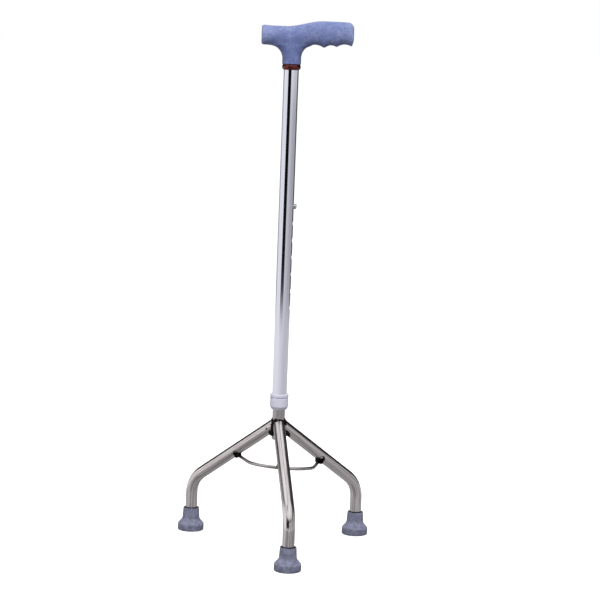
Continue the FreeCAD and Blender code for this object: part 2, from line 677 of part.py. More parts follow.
def leg(name, turn):
    """One leg: from its foot up, round the bend, and inward to the stem, where it is coped.

    Beside the stem it is mitred to its neighbours, halfway between them.
    """
    body = new_body("leg_" + name)
    path = new_sketch(body, "XZ_Plane")
    reach, apex, radius = value("leg_reach"), value("leg_apex"), value("leg_bend_radius")
    slope = math.radians(value("leg_slope"))
    corner = apex - reach * math.tan(slope)
    run = radius * math.tan((math.pi / 2 - slope) / 2)
    foot = FreeCAD.Vector(reach, value("leg_bottom"), 0)
    bend_start = FreeCAD.Vector(reach, corner - run, 0)
    bend_end = FreeCAD.Vector(reach - run * math.cos(slope), corner + run * math.sin(slope), 0)
    centre = FreeCAD.Vector(reach - radius, corner - run, 0)
    upright = path.addGeometry(Part.LineSegment(foot, bend_start))
    bend_circle = Part.Circle(centre, UP, radius)
    bend = path.addGeometry(Part.ArcOfCircle(bend_circle, 0, math.pi / 2 - slope))
    inward = path.addGeometry(Part.LineSegment(bend_end, FreeCAD.Vector(0, apex, 0)))
    hold_point(path, upright, 1, "leg_reach", "leg_bottom")
    rule(path, "Vertical", upright)
    rule(path, "Tangent", upright, 2, bend, 1)
    rule(path, "Tangent", bend, 2, inward, 1)
    rule(path, "Radius", bend, formula="leg_bend_radius")
    hold_point(path, inward, 2, "0", "leg_apex")
    rule(path, "DistanceY", upright, 2, inward, 2,
         formula="leg_reach * tan(leg_slope) + leg_bend_radius * tan((90 - leg_slope) / 2)")

    section = new_sketch(body, "XY_Plane", "leg_bottom")
    circle(section, "leg_reach", "0", "leg_diameter / 2")
    circle(section, "leg_reach", "0", "leg_diameter / 2 - leg_wall")
    pipe = body.newObject("PartDesign::AdditivePipe", body.Label + "_tube")
    pipe.Profile = section
    pipe.Spine = (path, ["Edge1", "Edge2", "Edge3"])
    doc.recompute()

    cope = new_sketch(body, "XY_Plane")
    circle(cope, "0", "0", "stem_diameter / 2")
    notch = body.newObject("PartDesign::Pocket", body.Label + "_cope")
    notch.Profile = cope
    notch.Type = "Length"
    notch.Reversed = True
    bind(notch, Length="leg_apex * 2")
    doc.recompute()

    left, right = HALF_ANGLES[name]
    beside = new_sketch(body, "XY_Plane")
    outline(beside, [
        ("0", "0"),
        (f"leg_diameter * cos({left})", f"leg_diameter * sin({left})"),
        ("-leg_diameter", f"leg_diameter * sin({left})"),
        ("-leg_diameter", f"-leg_diameter * sin({right})"),
        (f"leg_diameter * cos({right})", f"-leg_diameter * sin({right})"),
    ])
    mitre = body.newObject("PartDesign::Pocket", body.Label + "_mitre")
    mitre.Profile = beside
    mitre.Type = "Length"
    mitre.Reversed = True
    bind(mitre, Length="leg_apex * 2")
    doc.recompute()
    drill(body, "XZ_Plane", "vent_place", "leg_apex - vent_place * tan(leg_slope)",
          "vent_diameter / 2", "leg_diameter")
    body.Placement = FreeCAD.Placement(FreeCAD.Vector(), turn)
    return body


def leg_run(label, turn, radius):
    """A solid cylinder around the sloping run of one leg, to cut other pieces to."""
    fall = FreeCAD.Rotation(FreeCAD.Vector(0, 1, 0), 90 + value("leg_slope"))
    return primitive("Cylinder", label, UP * value("leg_apex"), turn * fall,
                     Radius=radius, Height="leg_reach")


def hub_weld():
    """The weld bead around the root of each leg, where it meets the stem."""
    beads = [
        leg_run(f"bead_{name}", leg_turn(name), "leg_diameter / 2 + hub_weld_width")
        for name in LEG_NAMES
    ]
    reach = primitive("Cylinder", "bead_reach", Radius="stem_diameter / 2 + hub_weld_width",
                      Height="leg_apex * 2")
    band = doc.addObject("Part::Common", "bead_band")
    band.Base = fuse("beads", beads)
    band.Tool = reach
    runs = [leg_run(f"hub_run_{name}", leg_turn(name), "leg_diameter / 2") for name in LEG_NAMES]
    core = primitive("Cylinder", "bead_core", Radius="stem_diameter / 2", Height="leg_apex * 2")
    return cut("hub_weld", band, runs + [core])


def leg_axis(name, reach):
    """A point on the axis of a leg's sloping run, at this reach, and the direction down the run."""
    slope = math.radians(value("leg_slope"))
    out = leg_turn(name).multVec(FreeCAD.Vector(1, 0, 0))
    point = out * reach + UP * (value("leg_apex") - reach * math.tan(slope))
    return point, out * math.cos(slope) - UP * math.sin(slope)


def brace_line():
    """The rod's centreline: its touch under each leg, and its bow's centre, plane and arm ends.

    The rod lies in the plane through its three touches. Its bow passes under the front leg and
    opens towards the middle of the two other touches, and from its ends the arms run straight to
    the side legs. Where two round bars touch depends on the angle between them, and the arms'
    directions depend on the touches, so both are settled in a few rounds.
    """
    apart = value("(leg_diameter + brace_diameter) / 2 + brace_gap")
    radius = value("brace_bow_radius")
    ways = {"front": FreeCAD.Vector(1, 0, 0)}
    ways["right"] = ways["left"] = FreeCAD.Vector(0, 1, 0)
    touches, arm_starts = {}, {}
    for _ in range(SETTLING_ROUNDS):
        for name in LEG_NAMES:
            point, down = leg_axis(name, value("brace_reach_" + name))
            square = down.cross(ways[name]).normalize()
            touches[name] = point - square * math.copysign(apart, square.z)
        front, right, left = (touches[name] for name in LEG_NAMES)
        normal = (right - front).cross(left - front).normalize()
        inward = ((right + left) * 0.5 - front).normalize()
        centre = front + inward * radius
        ways["front"] = inward.cross(normal)
        for name, side in (("right", 1), ("left", -1)):
            along = touches[name] - centre
            turn = math.acos(radius / along.Length)
            along.normalize()
            start = along * math.cos(turn) + along.cross(normal) * (side * math.sin(turn))
            arm_starts[name] = centre + start * radius
            ways[name] = (touches[name] - arm_starts[name]).normalize()
    return touches, centre, normal, arm_starts


def brace_rod():
    """The U-shaped rod under the legs, open to the back: a bow with two straight arms.

    Its own frame has the bow's centre at the origin, and the right arm along +Y.
    """
    body = new_body("brace_rod")
    touches, centre, normal, arm_starts = brace_line()
    radius = value("brace_bow_radius")
    lengths = {
        name: (touches[name] - start).Length + value("brace_overhang")
        for name, start in arm_starts.items()
    }
    across = (arm_starts["right"] - centre).normalize()
    span = across.getAngle(arm_starts["left"] - centre)
    left_start = FreeCAD.Vector(radius * math.cos(span), -radius * math.sin(span), 0)
    left_way = FreeCAD.Vector(-math.sin(span), -math.cos(span), 0)

    path = new_sketch(body, "XY_Plane")
    right_arm = path.addGeometry(Part.LineSegment(
        FreeCAD.Vector(radius, lengths["right"], 0), FreeCAD.Vector(radius, 0, 0)))
    bow_circle = Part.Circle(FreeCAD.Vector(), UP, radius)
    bow = path.addGeometry(Part.ArcOfCircle(bow_circle, -span, 0))
    left_arm = path.addGeometry(Part.LineSegment(left_start, left_start + left_way * lengths["left"]))
    rule(path, "Coincident", bow, 3, -1, 1)
    rule(path, "Radius", bow, formula="brace_bow_radius")
    rule(path, "Vertical", right_arm)
    rule(path, "Tangent", right_arm, 2, bow, 2)
    rule(path, "Tangent", bow, 1, left_arm, 1)
    path.addConstraint([
        Sketcher.Constraint("Distance", right_arm, lengths["right"]),
        Sketcher.Constraint("Distance", left_arm, lengths["left"]),
        Sketcher.Constraint("DistanceY", left_arm, 1, -1, 1, -left_start.y),
    ])

    section = new_sketch(body, "XZ_Plane", str(-lengths["right"]))
    circle(section, "brace_bow_radius", "0", "brace_diameter / 2")
    pipe = body.newObject("PartDesign::AdditivePipe", "brace_pipe")
    pipe.Profile = section
    pipe.Spine = (path, ["Edge1", "Edge2", "Edge3"])
    body.Placement = FreeCAD.Placement(
        centre, FreeCAD.Rotation(across, normal.cross(across), normal, "ZXY"))
    return body


def brace_weld(rod):
    """The lumps of weld where the rod meets the three legs."""
    touches, *_ = brace_line()
    lumps = []
    for name, touch in touches.items():
        point, _ = leg_axis(name, value("brace_reach_" + name))
        seat = touch + (point - touch).normalize() * value("brace_diameter / 2")
        lumps.append(primitive("Sphere", f"brace_lump_{name}", seat, Radius="brace_weld_radius"))
    runs = [leg_run(f"brace_run_{name}", leg_turn(name), "leg_diameter / 2") for name in LEG_NAMES]
    return cut("brace_weld", fuse("brace_lumps", lumps), runs + [rod])


# ---- feet ------------------------------------------------------------------------------------

def foot_place(turn):
    """The placement of one foot, under the upright end of its leg."""
    return FreeCAD.Placement(turn.multVec(FreeCAD.Vector(value("leg_reach"), 0, 0)), turn)


def foot(name, turn):
    """One rubber foot: a wide treaded sole, a flare and a socket for the leg."""
    def tread(middle):
        return [
            (f"{middle} - tread_width / 2", "0"),
            (f"{middle} - tread_width / 2 + tread_slant", "tread_depth"),
            (f"{middle} + tread_width / 2 - tread_slant", "tread_depth"),
            (f"{middle} + tread_width / 2", "0"),
        ]

    socket = "leg_diameter / 2"
    recess = "foot_recess_diameter / 2"
    body = turned("foot_" + name, [
        ("0", "0"),
        *tread("inner_tread_radius"),
        *tread("outer_tread_radius"),
        ("foot_diameter / 2 - foot_sole_chamfer", "0"),
        ("foot_diameter / 2", "foot_sole_chamfer"),
        ("foot_diameter / 2", "foot_band"),
        ("foot_flare_diameter / 2", "foot_flare"),
        ("foot_rim_diameter / 2", "foot_height"),
        (recess, "foot_height"),
        (recess, "foot_height - foot_recess_depth"),
        (socket, "foot_height - foot_recess_depth"),
        (socket, "foot_floor"),
        ("0", "foot_floor"),
    ])
    round_edges(body, "foot_diameter / 2", "foot_band", "foot_band_round")
    round_edges(body, "foot_flare_diameter / 2", "foot_flare", "foot_flare_round")
    round_edges(body, "foot_rim_diameter / 2", "foot_height", "foot_rim_round")
    body.Placement = foot_place(turn)
    return body


def foot_washer(name, turn):
    """The steel disc in a foot that keeps the leg's edge from cutting the rubber."""
    body = turned("foot_washer_" + name, [
        ("0", "foot_floor"),
        ("washer_diameter / 2", "foot_floor"),
        ("washer_diameter / 2", "leg_bottom"),
        ("0", "leg_bottom"),
    ])
    body.Placement = foot_place(turn)
    return body


# ---- the cane, its checks and its files ------------------------------------------------------

def build_cane():
    """Every sub-part, in the order that it comes off the cane from top to bottom."""
    rod = brace_rod()
    turns = [(name, leg_turn(name)) for name in LEG_NAMES]
    return [
        handle_grip(), handle_screw(), neck_ring(), upper_tube(),
        collar_sleeve(), lock_collet(), lock_nut(),
        stem_tube(), stem_guide_bush(), stem_end_plug(), snap_button(), button_spring(),
        *[leg(name, turn) for name, turn in turns],
        hub_weld(), rod, brace_weld(rod),
        *[foot(name, turn) for name, turn in turns],
        *[foot_washer(name, turn) for name, turn in turns],
    ]


def check(pieces):
    """Stop if any object failed, or if a sub-part is missing, invalid or not solid."""
    broken = [
        item.Name for item in doc.Objects if {"Invalid", "Error"} & set(item.State)
    ]
    broken += [
        piece.Label for piece in pieces
        if piece.Shape.isNull() or not piece.Shape.isValid() or not piece.Shape.Solids
    ]
    if broken:
        raise RuntimeError("these objects failed: " + ", ".join(broken))


cane = build_cane()
doc.recompute()
check(cane)
os.makedirs("parts", exist_ok=True)
for piece in cane:
    piece.Shape.exportStep(os.path.join("parts", piece.Label + ".step"))
    print(f"{piece.Label}: {piece.Shape.Volume:.0f} mm3, {len(piece.Shape.Solids)} solid(s)")
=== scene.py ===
import json
import math

import bpy
import numpy as np
from mathutils import Matrix, Vector


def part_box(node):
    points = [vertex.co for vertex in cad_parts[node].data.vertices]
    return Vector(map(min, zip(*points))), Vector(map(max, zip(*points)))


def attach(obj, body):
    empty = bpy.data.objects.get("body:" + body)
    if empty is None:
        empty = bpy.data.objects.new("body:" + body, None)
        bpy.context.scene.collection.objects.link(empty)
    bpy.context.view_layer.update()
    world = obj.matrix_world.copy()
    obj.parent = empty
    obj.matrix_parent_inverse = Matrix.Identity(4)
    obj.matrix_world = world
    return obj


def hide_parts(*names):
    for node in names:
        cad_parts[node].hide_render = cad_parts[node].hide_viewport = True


# A walking cane on three splayed legs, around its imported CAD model. The frame is in metres,
# +Z up the shaft, +X towards the long end of the handle, -Y the front. Shapes are written in
# millimetres and scaled when they are made. Places come from the boxes of the CAD nodes.

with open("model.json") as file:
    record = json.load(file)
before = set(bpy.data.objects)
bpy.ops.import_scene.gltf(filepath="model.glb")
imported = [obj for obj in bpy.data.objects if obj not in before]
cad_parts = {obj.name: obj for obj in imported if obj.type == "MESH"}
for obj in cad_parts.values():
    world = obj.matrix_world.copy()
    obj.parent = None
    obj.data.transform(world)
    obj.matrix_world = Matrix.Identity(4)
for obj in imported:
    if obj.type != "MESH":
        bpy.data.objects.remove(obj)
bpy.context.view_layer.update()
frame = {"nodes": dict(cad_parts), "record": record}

MM = 0.001
LEGS = ("front", "right", "left")

STEM_RADIUS = 9.525
LEG_RADIUS, LEG_WALL = 9.0, 1.5
# a leg's centreline: slope of its run, level where it meets the stem's axis, radius of its bend,
# level of its lower end inside the foot
LEG_SLOPE = math.radians(36.0)
LEG_APEX, LEG_BEND, LEG_BOTTOM = 189.4, 42.0, 8.0
# painted shade and painted dark reflection on a leg just above its foot, where the rubber rim
# shades it: black up to the first level, unshaded from the second
LEG_PAINTED_SHADE = (35.4, 37.2)


def low(node):
    """Lowest corner of a CAD node, in millimetres."""
    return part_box(node)[0] / MM


def high(node):
    """Highest corner of a CAD node, in millimetres."""
    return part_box(node)[1] / MM


def middle(node):
    """Centre of a CAD node's box, in millimetres."""
    return (low(node) + high(node)) / 2


FOOT = {leg: middle("foot_" + leg) for leg in LEGS}
HEADING = {leg: math.atan2(FOOT[leg].y, FOOT[leg].x) for leg in LEGS}
REACH = math.hypot(FOOT["front"].x, FOOT["front"].y)


# ---- meshes ----------------------------------------------------------------------------------

def add_mesh(name, points, faces, uvs=None):
    """A mesh object from points in millimetres and faces, with UVs in millimetres per corner."""
    mesh = bpy.data.meshes.new(name)
    mesh.from_pydata([tuple(MM * c for c in p) for p in points], [], faces)
    if uvs is not None:
        layer = mesh.uv_layers.new(name="surface")
        flat = [MM * c for face in uvs for corner in face for c in corner]
        layer.data.foreach_set("uv", flat)
    mesh.validate()
    thing = bpy.data.objects.new(name, mesh)
    bpy.context.scene.collection.objects.link(thing)
    return thing


def shade(thing, angle=35.0):
    """Smooth shading, with edges sharper than the angle kept crisp."""
    mesh = thing.data
    mesh.polygons.foreach_set("use_smooth", [True] * len(mesh.polygons))
    mesh.set_sharp_from_angle(angle=math.radians(angle))
    return thing


def apply_modifiers(thing):
    """Turn the object's modifiers into plain mesh."""
    graph = bpy.context.evaluated_depsgraph_get()
    made = bpy.data.meshes.new_from_object(thing.evaluated_get(graph))
    old = thing.data
    thing.modifiers.clear()
    thing.data = made
    bpy.data.meshes.remove(old)
    return thing


def bow(centre, radius, start, end, steps):
    """Points of an arc in (radius, height), from one angle to another in degrees."""
    angles = [math.radians(start + (end - start) * i / steps) for i in range(steps + 1)]
    return [(centre[0] + radius * math.cos(a), centre[1] + radius * math.sin(a)) for a in angles]


def soften(profile, corners, steps=6):
    """The profile with some corners rounded: {index: radius}."""
    made = []
    for i, spot in enumerate(profile):
        if i not in corners:
            made.append(spot)
            continue
        here = np.array(spot, float)
        back = np.array(profile[i - 1], float) - here
        ahead = np.array(profile[(i + 1) % len(profile)], float) - here
        back /= np.linalg.norm(back)
        ahead /= np.linalg.norm(ahead)
        half = math.acos(float(np.clip(back @ ahead, -1, 1))) / 2
        run = corners[i] / math.tan(half)
        for k in range(steps + 1):
            t = k / steps
            a, b = here + back * run, here + ahead * run
            made.append(tuple((1 - t) ** 2 * a + 2 * t * (1 - t) * here + t ** 2 * b))
    return made


def lathe(name, profile, centre=(0.0, 0.0), segments=96, swell=None):
    """Turn a closed profile about an upright axis.

    The profile is (radius, height), upwards on its outside. A swell is added to the radius.
    """
    points, rings = [], []
    for radius, height in profile:
        if radius < 1e-6:
            rings.append([len(points)] * segments)
            points.append((centre[0], centre[1], height))
            continue
        ring = []
        for k in range(segments):
            angle = 2 * math.pi * k / segments
            reach = radius + (swell(radius, height, angle) if swell else 0.0)
            ring.append(len(points))
            points.append((centre[0] + reach * math.cos(angle),
                           centre[1] + reach * math.sin(angle), height))
        rings.append(ring)
    lengths = [0.0]
    for (r0, z0), (r1, z1) in zip(profile, profile[1:] + profile[:1]):
        lengths.append(lengths[-1] + math.hypot(r1 - r0, z1 - z0))
    turn = 2 * math.pi * max(radius for radius, _ in profile) / segments
    faces, uvs = [], []
    for i, ring in enumerate(rings):
        other = rings[(i + 1) % len(rings)]
        for k in range(segments):
            m = (k + 1) % segments
            corners = [ring[k], ring[m], other[m], other[k]]
            spots = [(turn * k, lengths[i]), (turn * (k + 1), lengths[i]),
                     (turn * (k + 1), lengths[i + 1]), (turn * k, lengths[i + 1])]
            kept = [j for j in range(4) if corners[j] != corners[j - 1]]
            if len(kept) > 2:
                faces.append([corners[j] for j in kept])
                uvs.append([spots[j] for j in kept])
    return shade(add_mesh(name, points, faces, uvs))


def skin(name, field, lowest, highest, pitch):
    """The zero level of a field, negative inside, as an even mesh of quads. Millimetres."""
    count = [int(math.ceil((b - a) / pitch)) + 1 for a, b in zip(lowest, highest)]
    axes = [a + pitch * np.arange(n) for a, n in zip(lowest, count)]
    level = field(*np.meshgrid(*axes, indexing="ij"))
    inside = level < 0
    cells = [n - 1 for n in count]
    total, hits = np.zeros(cells + [3]), np.zeros(cells)
    for axis in range(3):
        others = [a for a in range(3) if a != axis]
        for shift in ((0, 0), (0, 1), (1, 0), (1, 1)):
            start = [0, 0, 0]
            start[others[0]], start[others[1]] = shift
            near = tuple(slice(s, s + n) for s, n in zip(start, cells))
            start[axis] = 1
            far = tuple(slice(s, s + n) for s, n in zip(start, cells))
            crossed = inside[near] != inside[far]
            share = level[near][crossed] / (level[near][crossed] - level[far][crossed])
            spot = np.zeros((len(share), 3))
            spot[:, others[0]], spot[:, others[1]], spot[:, axis] = *shift, share
            total[crossed] += spot
            hits[crossed] += 1
    used = hits > 0
    index = np.full(cells, -1)
    index[used] = np.arange(used.sum())
    points = np.argwhere(used) + total[used] / hits[used][:, None]
    points = points * pitch + np.array(lowest)
    rounds, step, longest, flattest = 3, 0.05 * pitch, 0.4 * pitch, 0.05
    for _ in range(rounds):
        value = field(*points.T)
        slope = np.stack([
            (field(*(points + step * unit).T) - field(*(points - step * unit).T)) / (2 * step)
            for unit in np.eye(3)
        ], axis=1)
        move = value[:, None] * slope / np.maximum((slope ** 2).sum(axis=1), flattest)[:, None]
        size = np.linalg.norm(move, axis=1, keepdims=True)
        points = points - move * np.minimum(1.0, longest / np.maximum(size, 1e-9))
    faces = []
    for axis in range(3):
        one, two = (axis + 1) % 3, (axis + 2) % 3
        near, far = [slice(None)] * 3, [slice(None)] * 3
        near[axis], far[axis] = slice(0, -1), slice(1, None)
        a, b = inside[tuple(near)], inside[tuple(far)]
        for flag, turn in ((a & ~b, 1), (~a & b, -1)):
            spots = np.argwhere(flag)
            spots = spots[(spots[:, one] > 0) & (spots[:, two] > 0)
                          & (spots[:, one] < cells[one]) & (spots[:, two] < cells[two])]
            quad = []
            for back_one, back_two in ((1, 1), (0, 1), (0, 0), (1, 0)):
                cell = spots.copy()
                cell[:, one] -= back_one
                cell[:, two] -= back_two
                quad.append(index[tuple(cell.T)])
            faces += np.stack(quad, axis=1)[:, ::turn].tolist()
    return shade(add_mesh(name, points.tolist(), faces), 60.0)


# ---- soft versions of simple maths -----------------------------------------------------------

def ease(x, start, end):
    """0 before start, 1 after end, smooth between."""
    share = np.clip((np.asarray(x, float) - start) / (end - start), 0, 1)
    return share * share * (3 - 2 * share)


def join(a, b, size):
    """The union of two fields, filleted over about that size."""
    share = np.clip(0.5 + 0.5 * (b - a) / size, 0, 1)
    return b + (a - b) * share - size * share * (1 - share)


def keep(a, b, size):
    """The intersection of two fields, with an edge rounded to that radius."""
    outside = np.hypot(np.maximum(a + size, 0), np.maximum(b + size, 0))
    return np.minimum(np.maximum(a, b), -size) + outside


def ripple(x, y, z, pitch, seed):
    """A smooth bumpy value from -1 to 1 in space, in waves of a pitch, the same on each run."""
    made = 0
    for k in range(4):
        turn = seed + 1.7 * k
        east = math.cos(turn)
        north = math.sin(turn) * math.cos(2 * turn)
        up = math.sin(turn) * math.sin(2 * turn)
        made = made + np.sin((x * east + y * north + z * up) * 2 * math.pi / pitch + 3 * turn)
    return made / 4


# ---- handle ----------------------------------------------------------------------------------

GRIP_HALF_DEPTH = 13.9
GRIP_SHORT_END, GRIP_LONG_END = -45.5, 90.3
GRIP_POWER = 2.25
# the top rises between two places along the handle, lifts at the short end and falls at the long
# one: from where, over what run, by how much
GRIP_LOW_TOP, GRIP_HIGH_TOP = 781.6, 790.55
TOP_RISE = (-10.0, 45.0)
SHORT_LIFT, LONG_FALL = (-20.0, 25.0, 1.1), (66.0, 24.0, 1.0)
# the underside, and the ridges between the grooves: level at a place, slope, start, rounding
UNDERSIDE = 753.7
RIDGES, RIDGES_PLACE, RIDGES_SLOPE, RIDGES_START, RIDGES_ROUND = 752.4, 50.0, 0.067, 34.0, 1.6
# finger grooves on the underside: place along the handle, deepest level, radius
GROOVES = ((34.0, 756.0, 20.2), (57.6, 756.0, 12.7), (77.6, 757.9, 18.5))
# rounding of the two ends; the long end is sharp below, blunt above, and leans in below a level
SHORT_ROUND, SHARP_ROUND, BLUNT_ROUND = 3.6, 1.6, 8.0
BLUNT_LEVELS = (762.0, 780.0)
LEAN_LEVEL, LEAN = 765.0, 0.24
# the neck and its two flares: radius of the flare, level where it starts
NECK_RADIUS, NECK_HALF_DEPTH = 13.8, 13.75
BACK_FLARE, AHEAD_FLARE = (20.6, 733.4), (20.2, 735.8)
NECK_TOP, NECK_TOP_ROUND, NECK_FILLET, NECK_EDGE = 769.0, 3.0, 4.0, 0.5
SEAM_HEIGHT, SEAM_WIDTH = 0.12, 0.45
TUBE_TOP, SOCKET_RADIUS, SOCKET_TOP_GAP = 762.0, 11.15, 0.4
SCREW_LEVEL, SCREW_SEAT, SCREW_RECESS, SCREW_BORE, SCREW_EDGE = 742.0, 11.7, 3.2, 1.75, 0.3


def grip_field(x, y, z):
    """Distance, roughly, to the handle's surface: a bar with finger grooves on a flared neck."""
    rise = (GRIP_HIGH_TOP - GRIP_LOW_TOP) * ease(x, *TOP_RISE)
    start, run, height = SHORT_LIFT
    lift = height * (np.clip(start - x, 0, None) / run) ** 2
    start, run, height = LONG_FALL
    fall = height * (np.clip(x - start, 0, None) / run) ** 2
    top = GRIP_LOW_TOP + rise + lift - fall
    under = np.where(x < RIDGES_START, UNDERSIDE, RIDGES + RIDGES_SLOPE * (x - RIDGES_PLACE))
    for place, deepest, radius in GROOVES:
        reach = np.sqrt(np.clip(radius ** 2 - (x - place) ** 2, 0, None))
        groove = np.where(np.abs(x - place) < radius, deepest - radius + reach, 0)
        under = -join(-under, -groove, RIDGES_ROUND)
    half, centre = (top - under) / 2, (top + under) / 2
    bar = np.abs(y / GRIP_HALF_DEPTH) ** GRIP_POWER + np.abs((z - centre) / half) ** GRIP_POWER
    bar = (bar ** (1 / GRIP_POWER) - 1) * np.minimum(half, GRIP_HALF_DEPTH)
    bar = keep(bar, GRIP_SHORT_END - x, SHORT_ROUND)
    end = GRIP_LONG_END - LEAN * np.clip(LEAN_LEVEL - z, 0, None)
    sharp = keep(bar, x - end, SHARP_ROUND)
    blunt = keep(bar, x - end, BLUNT_ROUND)
    share = ease(z, *BLUNT_LEVELS)
    bar = sharp * (1 - share) + blunt * share

    def flank(radius, level):
        climb = np.clip(z - level, 0, UNDERSIDE - level)
        return NECK_RADIUS + radius - np.sqrt(np.clip(radius ** 2 - climb ** 2, 0, None))

    back, ahead = flank(*BACK_FLARE), flank(*AHEAD_FLARE)
    half, centre = (back + ahead) / 2, (ahead - back) / 2
    neck = np.hypot((x - centre) / half, y / NECK_HALF_DEPTH) - 1
    neck = keep(neck * np.minimum(half, NECK_RADIUS), z - NECK_TOP, NECK_TOP_ROUND)
    solid = join(bar, neck, NECK_FILLET)
    solid = keep(solid, high("neck_ring").z - z, NECK_EDGE)
    solid = solid - SEAM_HEIGHT * np.exp(-(y / SEAM_WIDTH) ** 2)
    socket = np.maximum(np.hypot(x, y) - SOCKET_RADIUS, z - TUBE_TOP - SOCKET_TOP_GAP)
    recess = np.maximum(np.hypot(x, z - SCREW_LEVEL) - SCREW_RECESS, SCREW_SEAT - y)
    bore = np.maximum(np.hypot(x, z - SCREW_LEVEL) - SCREW_BORE, -y)
    return np.maximum(keep(solid, -recess, SCREW_EDGE), -np.minimum(socket, bore))


def make_handle():
    """The moulded handle, with its socket, screw recess and mould seam."""
    margin, pitch = 2.0, 0.7
    lowest = (GRIP_SHORT_END - margin, -GRIP_HALF_DEPTH - margin, high("neck_ring").z - margin)
    highest = (GRIP_LONG_END + margin, GRIP_HALF_DEPTH + margin, GRIP_HIGH_TOP + margin)
    return skin("handle", grip_field, lowest, highest, pitch)


# ---- ring, collar and nut --------------------------------------------------------------------

def make_ring():
    """The lacquered trim ring: a bulging band between two narrow steps."""
    bottom, top = low("neck_ring").z, high("neck_ring").z
    bore, edge, step = 11.1, high("neck_ring").x, 0.7
    bulge, power, count = 1.1, 2.1, 24
    rise = top - bottom - 2 * step
    profile = [(bore, bottom), (edge - 1.9, bottom), (edge - 1.5, bottom + 0.3),
               (edge - 1.3, bottom + step)]
    for k in range(count + 1):
        t = k / count
        profile.append((edge - bulge * abs(2 * t - 1) ** power, bottom + step + rise * t))
    profile += [(edge - 0.5, top - step), (edge - 0.35, top - 0.25), (edge - 0.6, top),
                (bore, top)]
    return lathe("trim_ring", profile, segments=128)


THREAD_PITCH, THREAD_DEPTH = 3.0, 0.55
RIM_HEIGHT = 5.0
# level of the shaft tube's lower end inside the collar
TUBE_END = 229.0


def make_sleeve():
    """The collar's fixed part: a bevelled rim on the tube and a threaded spigot under it."""
    bottom, top = low("collar_sleeve").z, high("collar_sleeve").z
    rim, spigot, bore, tube = high("collar_sleeve").x, 11.6, 9.62, 11.1
    under = top - RIM_HEIGHT

    def thread(radius, height, angle):
        if not (radius > spigot - 0.3 and bottom + 0.6 < height < under - 0.8):
            return 0.0
        phase = (height / THREAD_PITCH - angle / (2 * math.pi)) % 1.0
        return -THREAD_DEPTH * float(ease(abs(phase - 0.5), 0.18, 0.36))

    profile = [(bore, bottom), (spigot - 0.4, bottom), (spigot, bottom + 0.5)]
    steps, length = 54, under - bottom - 1.0
    profile += [(spigot, bottom + 0.5 + length * i / steps) for i in range(1, steps)]
    profile += [(spigot, under), (rim - 0.3, under), (rim, under + 0.35), (rim, top - 1.5)]
    profile += bow((rim - 1.0, top - 1.3), 1.0, 0, 60, 6)
    profile += [(tube + 0.75, top), (tube, top - 0.55), (tube, TUBE_END), (bore, TUBE_END)]
    return lathe("collar_rim", profile, segments=128, swell=thread)


def make_nut():
    """The lock nut: a plain barrel that tapers to the stem, with its cone inside."""
    bottom, top = low("lock_nut").z, high("lock_nut").z
    mouth, edge, rim, hollow = 9.95, 11.3, high("lock_nut").x, 11.9
    shoulder, cone_top, cone_bottom, cone_end = 213.7, 213.0, 209.9, 10.2
    outside = soften(
        [(mouth, bottom), (edge, bottom), (rim, shoulder), (rim, top), (hollow, top)],
        {1: 0.7, 2: 2.6, 3: 0.9, 4: 0.3}, 8)
    inside = [(hollow, cone_top), (cone_end, cone_bottom), (mouth, cone_bottom)]
    return lathe("collar_nut", outside + inside, segments=128)


# ---- legs ------------------------------------------------------------------------------------

# stations along a leg: share of the run where the first one lies, and how many there are
RUN_START = 0.16
RUN_STATIONS, BEND_STATIONS, UPRIGHT_STATIONS = 44, 24, 11
# gap of a leg's end to the stem, and to the plane halfway to each neighbour
LEG_GAP = 0.02
# how much a leg's section loses in the plane of its bend, and the share of that it gains across
BEND_FLATTENING, BEND_WIDENING = 0.035, 0.4
VENT_RADIUS, VENT_PLACE, VENT_DEPTH = 1.5, 15.5, 12


def leg_frame(leg):
    """The outward direction of a leg and the direction across it, both level."""
    turn = HEADING[leg]
    out = Vector((math.cos(turn), math.sin(turn), 0))
    return out, Vector((-out.y, out.x, 0))


def leg_path(leg):
    """Stations down a leg's centreline: (place, direction), from the hub to inside the foot."""
    out, _ = leg_frame(leg)
    down = out * math.cos(LEG_SLOPE) + Vector((0, 0, -math.sin(LEG_SLOPE)))
    corner = LEG_APEX - REACH * math.tan(LEG_SLOPE)
    run = LEG_BEND * math.tan((math.pi / 2 - LEG_SLOPE) / 2)
    apex = Vector((0, 0, LEG_APEX))
    length = REACH / math.cos(LEG_SLOPE) - run
    stations = [(apex + down * length * t, down) for t in np.linspace(RUN_START, 1, RUN_STATIONS)]
    centre = out * (REACH - LEG_BEND) + Vector((0, 0, corner - run))
    for t in np.linspace(0, 1, BEND_STATIONS + 1)[1:]:
        turn = (math.pi / 2 - LEG_SLOPE) * (1 - t)
        place = centre + LEG_BEND * (out * math.cos(turn) + Vector((0, 0, math.sin(turn))))
        stations.append((place, out * math.sin(turn) - Vector((0, 0, math.cos(turn)))))
    foot = out * REACH + Vector((0, 0, LEG_BOTTOM))
    last = stations[-1][0]
    for t in np.linspace(0, 1, UPRIGHT_STATIONS + 1)[1:]:
        stations.append((last.lerp(foot, t), Vector((0, 0, -1))))
    return stations


